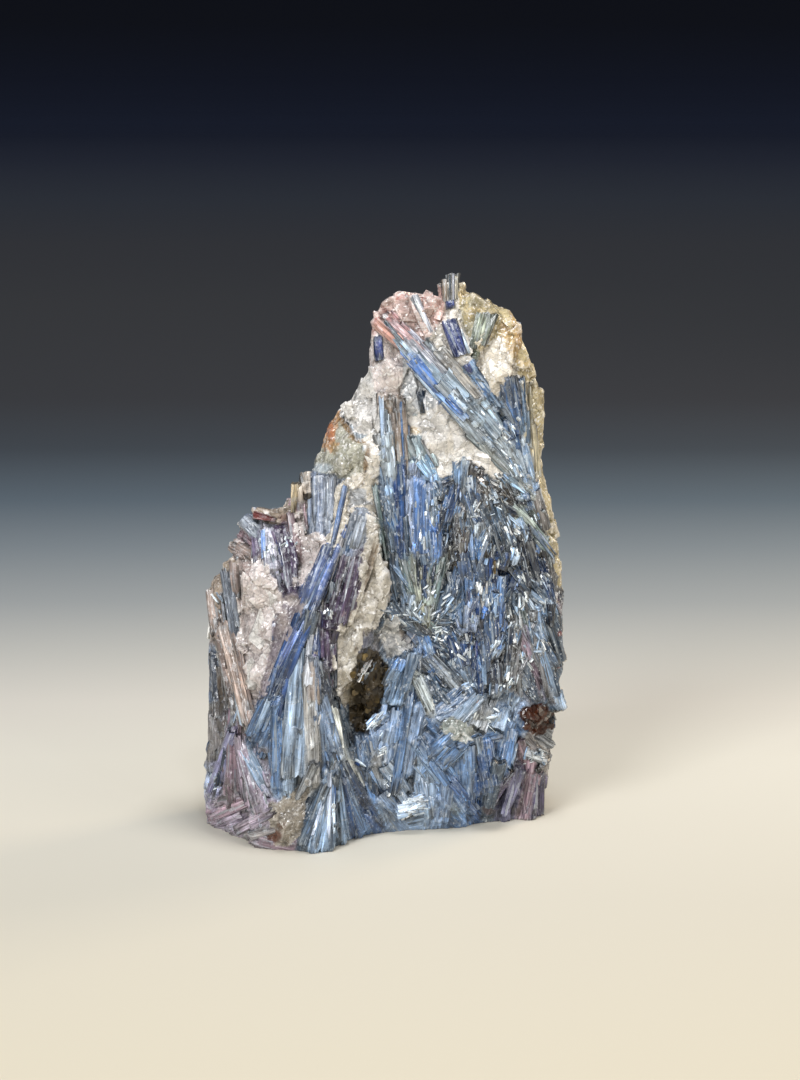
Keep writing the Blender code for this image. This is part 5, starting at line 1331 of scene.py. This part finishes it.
def quartzFlat(row, u0, v0, u1, v1, width, tone):
    lie = bladeLie(u0, v0, u1, v1)
    if not lie:
        return
    foot, tip, outward = lie
    turn = frameOn(tip - foot, outward)
    deep = min(width, chipForm["flatDeepest"])
    size = (width * chipForm["flatOver"], deep, (tip - foot).length * chipForm["flatOver"])
    spot = foot.lerp(tip, 0.5) - turn.col[1] * deep * chipForm["flatSink"]
    own = ownDraws(u0, v0)
    turn = turn @ Matrix.Rotation(own.gauss(0, 0.06), 3, "X")
    shade = Vector(linear(quartzTones[tone])) * math.exp(own.gauss(0.02, 0.06))
    addShape(row, spot, turn, size, shade, own.randrange(kinds["chip"]))


def chipField(row, rng):
    # small breaks that stand out of the quartz, with their whole rim on it
    form = chipForm
    placed = 0
    for _ in range(form["tries"]):
        if placed >= form["count"]:
            break
        u, v = rng.uniform(*form["u"]), rng.uniform(*form["v"])
        found = meet(u, v)
        if not found:
            continue
        hit, normal = found
        colour, quartz, _ = stainAt(np.array([tuple(hit)]))
        if not quartz[0] or gapsTo(u, v).min() < form["fromBlades"]:
            continue
        size = rng.uniform(*form["size"]) * rng.uniform(0.6, 1.0)
        spot = hit - normal * size * form["sink"]
        turn = Matrix.Rotation(rng.uniform(0, 6.3), 3, "X") @ Matrix.Rotation(rng.uniform(0, 6.3), 3, "Z")
        tone = Vector(colour[0].tolist()) * math.exp(rng.gauss(0.04, 0.08))
        reach = size * form["rim"]
        rim = [meet(u + side * reach, v + rise * reach) for side, rise in ((1, 0), (-1, 0), (0, 1), (0, -1))]
        if spot.z < size * 0.6 or not all(rim) or not all(quartzAt(found[0]) for found in rim):
            continue
        addShape(row, spot, turn, (size, size * rng.uniform(0.6, 1.0), size * rng.uniform(0.9, 1.6)), tone,
                 rng.randrange(kinds["chip"]))
        placed += 1


plateForm = {"tries": 70, "u": (-9, 0.5), "v": (30, 50.5), "size": (0.9, 2.6), "thickness": 0.4,
             "facing": (0.35, -1.0, 0.25), "stray": 0.4, "lift": (-0.2, 0.3), "toneSpread": 0.2,
             "tones": ("3a2f1c", "2b2214", "564729", "1d1810", "6a5a38")}


def plateField(row, rng):
    # small books of mica in the dark hollow
    form = plateForm
    hollow = next(corners for name, corners in quartzAreas if name == "cave")
    for _ in range(form["tries"]):
        u, v = rng.uniform(*form["u"]), rng.uniform(*form["v"])
        found = meet(u, v)
        if not found or not insideArea(np.array([u]), np.array([v]), hollow)[0]:
            continue
        facing = Vector(form["facing"]) + Vector([rng.gauss(0, form["stray"]) for _ in range(3)])
        facing.normalize()
        turn = frameOn(Vector((0, 0.2, 1)), facing) @ Matrix.Rotation(rng.uniform(0, 6.3), 3, "Y")
        size = rng.uniform(*form["size"])
        tone = Vector(linear(rng.choice(form["tones"]))) * math.exp(rng.gauss(0, form["toneSpread"]))
        spot = found[0] + facing * rng.uniform(*form["lift"])
        addShape(row, spot, turn, (size, form["thickness"], size), tone, rng.randrange(kinds["plate"]))


# Where the crushed slab gets painted glints, right of a line and between two heights, and how much there and
# elsewhere
slabGlints = {"from": 10, "low": 38, "high": 92, "slab": 1.0, "elsewhere": 0.3}
massForm = {"grain": 0.52, "footHeight": 1.2, "parting": 62.0, "fray": 0.9, "stain": 0.8, "quartzCover": 0.55,
            # quartz: size and relief of its flat breaks; kyanite: size of its ridges in the grain, and relief
            "facets": ((6.4, 0.62), (2.4, 0.2)),
            "ridges": (((1.9, 5.0, 11.0), 0.55), ((0.95, 3.0, 6.0), 0.2)),
            "sharpest": 0.07, "part": 20000, "apart": 37.0}


def grainFront(points):
    # the blade whose line lies nearest gives its run and its tone; the tone blends into its neighbours
    u, v = drawnGrid(points)
    run = fieldEnds[:, 2:4] - fieldEnds[:, 0:2]
    heading = run / np.linalg.norm(run, axis=1)[:, None]
    along = heading[:, 0:1] * np.array([[1.0, 0, 0]]) + heading[:, 1:2] * np.array([tuple(upright)])
    across = np.cross(np.array([tuple(-lookAlong)]), along)
    toneOf = np.array([commonTone(name) for name in fieldTones])
    nearest = np.empty(len(points), dtype=int)
    colour = np.empty((len(points), 3))
    for start in range(0, len(points), massForm["part"]):
        part = slice(start, start + massForm["part"])
        spot = np.stack([u[part], v[part]], axis=1)[:, None, :]
        share = ((spot - fieldEnds[None, :, 0:2]) * run[None]).sum(axis=2) / (run ** 2).sum(axis=1)
        share = np.clip(share, 0, 1)
        gap = np.linalg.norm(fieldEnds[None, :, 0:2] + run[None] * share[:, :, None] - spot, axis=2)
        gap = np.maximum(gap - fieldEnds[None, :, 4] * fieldForm["edge"], fieldForm["nearest"])
        weight = gap ** -4.0
        nearest[part] = gap.argmin(axis=1)
        colour[part] = weight @ toneOf / weight.sum(axis=1)[:, None]
    grain = np.stack([(points * across[nearest]).sum(axis=1), -(points @ np.array(lookAlong)),
                      (points * along[nearest]).sum(axis=1)], axis=1)
    grain[:, 0] += nearest * massForm["apart"]
    lights = {name: np.array(form["light"]) for name, form in regionForm.items()}
    colour *= np.array([lights[regionOf(*spot)] for spot in zip(u.tolist(), v.tolist())])
    return colour, grain


def grainAway(points, normals):
    toneOf = {name: np.array(commonTone(name)) for name in awayForm["tones"]}
    colour, grain = np.empty((len(points), 3)), np.empty((len(points), 3))
    for number, (point, normal) in enumerate(zip(points, normals)):
        facing = awayFacing(normal)
        spot = Vector(point.tolist())
        patch = awayPatch(spot)
        along = leaningUp(facing, awayLean(patch))
        across = facing.cross(along)
        grain[number] = (spot.dot(across) + patch.x * 90, spot.dot(facing), spot.dot(along))
        colour[number] = toneOf[patchTone(patch)]
    return colour, grain


def cellLean(spot):
    # the middle of the cell of a pattern that a spot lies in, and the way that cell leans
    near = noise.voronoi(spot)[1][0]
    return near, noise.cell_vector(near * 9.7) - Vector((0.5, 0.5, 0.5))


def quartzRise(spot):
    rise = 0.0
    for size, relief in massForm["facets"]:
        near, tilt = cellLean(spot / size)
        rise += relief * (tilt.x + 1.6 * (spot / size - near).dot(tilt))
    return rise


def kyaniteRise(grain):
    rise = 0.0
    for (across, out, along), relief in massForm["ridges"]:
        spot = Vector((grain.x / across, grain.y / out, grain.z / along))
        near, tilt = cellLean(spot)
        rise += relief * (tilt.x + 1.2 * (spot.x - near.x) * tilt.y + 0.6 * (spot.z - near.z) * tilt.z)
    return rise


def fineSkin():
    # the solid's skin as one mesh of even squares, with its points and normals
    mesh = bpy.data.meshes.new("matrix")
    skin.to_mesh(mesh)
    mesh.transform(Matrix.Scale(mm, 4))
    piece = addObject("matrix", mesh)
    whole = piece.modifiers.new("one skin", "REMESH")
    whole.mode = "VOXEL"
    whole.voxel_size = massForm["grain"] * mm
    graph = bpy.context.evaluated_depsgraph_get()
    mesh = bpy.data.meshes.new_from_object(piece.evaluated_get(graph))
    bpy.data.objects.remove(piece)
    points, normals = (np.empty(len(mesh.vertices) * 3, dtype=np.float32) for _ in range(2))
    mesh.vertices.foreach_get("co", points)
    mesh.vertices.foreach_get("normal", normals)
    return mesh, points.reshape(-1, 3).astype(float) / mm, normals.reshape(-1, 3).astype(float)


def massGround(points, normals):
    # at each point: its colour, the run of its grain, and whether it is quartz and faces away from the front
    toEye = np.array(eye) - points
    toEye /= np.linalg.norm(toEye, axis=1)[:, None]
    facing = np.clip(((normals * toEye).sum(axis=1) + 0.2) / 0.2, 0, 1)
    away = facing < 0.5
    colour, grain = grainFront(points)
    colour[away], grain[away] = grainAway(points[away], normals[away])
    stain, quartzLike, cover = stainAt(points, massForm["fray"])
    stain[away], cover[away] = awayStains(points[away])
    quartzLike[away] = cover[away] > massForm["quartzCover"]
    stained = colour + (stain - colour) * cover[:, None] * massForm["stain"]
    return np.where(quartzLike[:, None], stain, stained), grain, quartzLike, away


def quartzMass():
    mesh, points, normals = fineSkin()
    colour, grain, quartzLike, away = massGround(points, normals)
    rise = np.zeros(len(points))
    for number in np.flatnonzero(points[:, 2] >= massForm["footHeight"]):
        if quartzLike[number]:
            rise[number] = quartzRise(Vector(points[number].tolist()))
        else:
            rise[number] = kyaniteRise(Vector(grain[number].tolist()))
    points += normals * rise[:, None]
    # how low each point lies, so that the kyanite finish paints shade into the low places
    grain[:, 1] = rise * 1.3 - 0.3
    points[(points[:, 2] < massForm["footHeight"]) & (normals[:, 2] < -0.7), 2] = 0.0
    mesh.vertices.foreach_set("co", (points * mm).astype(np.float32).ravel())
    u, v = drawnGrid(points)
    crackled = (u > slabGlints["from"]) & (v > slabGlints["low"]) & (v < slabGlints["high"]) & ~away
    sparkle = np.where(crackled, slabGlints["slab"], slabGlints["elsewhere"])[:, None]
    layer = mesh.attributes.new("tone", "FLOAT_COLOR", "POINT")
    layer.data.foreach_set("color", np.hstack([colour, sparkle]).astype(np.float32).ravel())
    writeVectors(mesh, "grain", grain)
    # the bend, where the quartz finish paints highlight on edges and shade in folds, and the kyanite finish a
    # highlight on edges
    mesh.attributes.new("rim", "FLOAT", "POINT").data.foreach_set("value", bend(mesh, points, normals))
    corners = np.empty(len(mesh.polygons) * 4, dtype=np.int32)
    mesh.loops.foreach_get("vertex_index", corners)
    corners = corners.reshape(-1, 4)
    ofQuartz = quartzLike[corners].sum(axis=1) >= 2
    mesh.materials.clear()
    mesh.materials.append(kyanite)
    mesh.materials.append(milkyQuartz)
    mesh.polygons.foreach_set("material_index", ofQuartz.astype(np.int32))
    mesh.polygons.foreach_set("use_smooth", ~ofQuartz)
    high = points[corners, 2].mean(axis=1) > massForm["parting"]
    return [parted(mesh, "upperMatrix", high), parted(mesh, "lowerMatrix", ~high)]


def bend(mesh, points, normals):
    # how sharply the skin bends at each corner: above nothing on an edge, below in a fold
    pairs = np.empty(len(mesh.edges) * 2, dtype=np.int32)
    mesh.edges.foreach_get("vertices", pairs)
    one, two = pairs[0::2], pairs[1::2]
    many = np.bincount(pairs, minlength=len(points))

    def mean(values):
        both = np.bincount(one, values[two], len(points)) + np.bincount(two, values[one], len(points))
        return both / many

    around = np.stack([mean(points[:, axis]) for axis in range(3)], axis=1)
    bent = ((points - around) * normals).sum(axis=1)
    bent = (bent + mean(bent)) / 2
    return np.clip(bent / massForm["sharpest"], -1, 1).astype(np.float32)


def parted(mesh, name, keep):
    shape = bmesh.new()
    shape.from_mesh(mesh)
    shape.faces.ensure_lookup_table()
    others = [face for face, kept in zip(shape.faces[:], keep) if not kept]
    bmesh.ops.delete(shape, geom=others, context="FACES")
    part = bpy.data.meshes.new(name)
    shape.to_mesh(part)
    shape.free()
    for material in mesh.materials:
        part.materials.append(material)
    piece = addObject(name, part)
    print(name, len(part.polygons) * 2, "triangles")
    return piece


def awayFacing(normal):
    if normal[1] > 0.2 and normal[1] > abs(normal[0]) * 0.8:
        return Vector((0, 1, 0))
    return Vector((1.0 if normal[0] > 0 else -1.0, 0, 0))


def awayPatch(spot):
    return noise.cell_vector(noise.voronoi(spot / awayForm["patch"])[1][0] * 13.3)


def awayLean(patch):
    return (patch.y - 0.5) * 1.6


def awayStains(points):
    picks = [np.array(linear(groundTone[key])) for key in ("away", "milky", "rusty")]
    colours, cover = np.empty((len(points), 3)), np.empty(len(points))
    for number, point in enumerate(points):
        spot = Vector(point.tolist())
        milk = min(1.0, max(0.0, (noise.noise(spot / 17.0) + 0.12) * 4.0))
        rust = min(0.8, max(0.0, (noise.noise(spot / 11.0 + Vector((31, 7, 3))) - 0.28) * 3.0))
        colour = picks[0] * (1 - milk) + picks[1] * milk
        colours[number] = colour * (1 - rust) + picks[2] * rust
        cover[number] = max(milk, rust)
    return colours, cover


def drawnBlade(rows, u0, v0, u1, v1, width, tone):
    lie = bladeLie(u0, v0, u1, v1)
    if not lie:
        return
    region = regionOf((u0 + u1) / 2, (v0 + v1) / 2)
    form = regionForm[region]
    rng = ownDraws(u0, v0)
    colour, quartz, cover = stainAlong(lie, (0.2, 0.5, 0.8))
    lift = bundleForm["accentLift"] if tone in accents or width < drawnForm["narrow"] else 0.0
    lift += bundleForm["quartzLift"] * width * float(quartz.mean())
    base = pickTone(tone, rng, spread=0) * Vector(form["light"])
    stained = 0.0 if quartz.any() or tone in accents else float(cover.mean()) * drawnForm["stain"]
    base = stainedTone(base, colour, stained)
    sparkle = 0.0 if tone == "gleam" else form["sparkle"] * drawnForm["sparkle"]
    bundle(rows[region], lie, width, base, rng, lift, sparkle)


def makePieces():
    rows = {name: newRow() for name in regions}
    for blade in blades:
        drawnBlade(rows, *blade)
    frontField(rows, random.Random(11))
    rows["backBlades"] = newRow()
    awayField(rows["backBlades"], random.Random(12))
    chipRow, plateRow, crumbRow, sliverRow = (newRow() for _ in range(4))
    for flat in quartzFlats:
        quartzFlat(chipRow, *flat)
    chipField(chipRow, random.Random(13))
    plateField(plateRow, random.Random(14))
    crumbField(crumbRow, random.Random(15))
    sliverField(sliverRow, random.Random(16))
    pieces = [(piece, "quartz") for piece in quartzMass()]
    pieces += [(setRow(name, row, fineBlades), "kyanite") for name, row in rows.items()]
    pieces.append((setRow("slabCrumbs", crumbRow, crumbs), "kyanite"))
    pieces.append((setRow("brightSlivers", sliverRow, fineBlades), "kyanite"))
    pieces.append((setRow("quartzChips", chipRow, chips), "quartz"))
    pieces.append((setRow("micaBook", plateRow, plates), "mica"))
    for piece, slot in pieces:
        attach(piece, "root")
        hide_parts("kyanite_cluster")
    print(len(pieces), "pieces ride on the root")


makePieces()


# Studio

studio = {"world": ("a9aeb5", 0.36), "view": "Standard", "aim": (0, 0, 0.07), "floor": 4.0, "backTilt": 85.0,
          "paperRoughness": 0.7,
          # name, power in watts, size and place in metres, colour; the small ones make the flat breaks glint
          "lamps": (("keyLight", 5.2, 0.34, (-0.4, -0.65, 0.7), "ffffff"),
                    ("fillLight", 2.0, 0.45, (0.75, -0.5, 0.4), "fff4e6"),
                    ("topLight", 3.4, 0.26, (0.12, -0.05, 0.85), "ffffff"),
                    ("rimLight", 2.0, 0.22, (0.6, 0.4, 0.4), "ffe9c8"),
                    ("glintLeft", 0.6, 0.07, (-0.7, -0.55, 0.3), "e4f0ff"),
                    ("glintHigh", 0.7, 0.07, (0.1, -0.6, 0.75), "f2f8ff"),
                    ("glintRight", 0.5, 0.07, (0.5, -0.75, 0.25), "ffffff")),
          # paper colour by distance behind the specimen, in metres
          "paper": ((-0.15, "d3cbb7"), (-0.06, "d3cdbe"), (0.06, "e0dcd0"), (0.11, "dad6cd"),
                    (0.17, "c3c3be"), (0.24, "a4a9ab"), (0.33, "869098"), (0.43, "62717e"),
                    (0.56, "47505a"), (0.72, "45474d"), (1.2, "56575b"), (1.7, "5a5b62"), (2.3, "515969"),
                    (3.2, "3a4460"), (4.2, "2f3b5a"), (4.43, "1e2845"), (4.62, "0a132b"))}


def stageFloor():
    shape = bmesh.new()
    bmesh.ops.create_grid(shape, x_segments=1, y_segments=1, size=studio["floor"])
    back = [e for e in shape.edges if all(v.co.y > 0.9 * studio["floor"] for v in e.verts)]
    bmesh.ops.spin(shape, geom=back, cent=(0, studio["floor"], 1.0), axis=(1, 0, 0),
                   angle=math.radians(studio["backTilt"]), steps=16)
    mesh = bpy.data.meshes.new("studioFloor")
    shape.to_mesh(mesh)
    shape.free()
    floor = addObject("studioFloor", mesh)
    material, tree, surface = newMaterial("palePaper")
    place = addNode(tree, "ShaderNodeTexCoord")
    apart = addNode(tree, "ShaderNodeSeparateXYZ", {}, {0: place.outputs["Object"]})
    near, far = studio["paper"][0][0], studio["paper"][-1][0]
    fade = addNode(tree, "ShaderNodeMapRange", {"From Min": near, "From Max": far},
                   {"Value": apart.outputs["Y"]})
    ramp = addNode(tree, "ShaderNodeValToRGB", {}, {0: fade.outputs[0]})
    stops = ramp.color_ramp.elements
    for number, (distance, code) in enumerate(studio["paper"]):
        at = (distance - near) / (far - near)
        stop = stops[number] if number < 2 else stops.new(at)
        stop.position = at
        stop.color = (*linear(code), 1)
    tree.links.new(ramp.outputs[0], surface.inputs["Base Color"])
    surface.inputs["Roughness"].default_value = studio["paperRoughness"]
    mesh.materials.append(material)


def addLight(name, power, size, place, colour):
    light = bpy.data.lights.new(name, "AREA")
    light.energy = power
    light.size = size
    light.color = linear(colour)
    lamp = addObject(name, light)
    lamp.location = place
    lamp.rotation_euler = (Vector(studio["aim"]) - Vector(place)).to_track_quat("-Z", "Y").to_euler()


def makeStudio():
    stageFloor()
    world = bpy.data.worlds.new("studioWorld")
    world.use_nodes = True
    background = world.node_tree.nodes["Background"]
    tint, strength = studio["world"]
    background.inputs["Color"].default_value = (*linear(tint), 1)
    background.inputs["Strength"].default_value = strength
    bpy.context.scene.world = world
    for lamp in studio["lamps"]:
        addLight(*lamp)
    bpy.context.scene.view_settings.view_transform = studio["view"]
    print("studio:", len(studio["lamps"]), "lights and a paper sweep")


makeStudio()
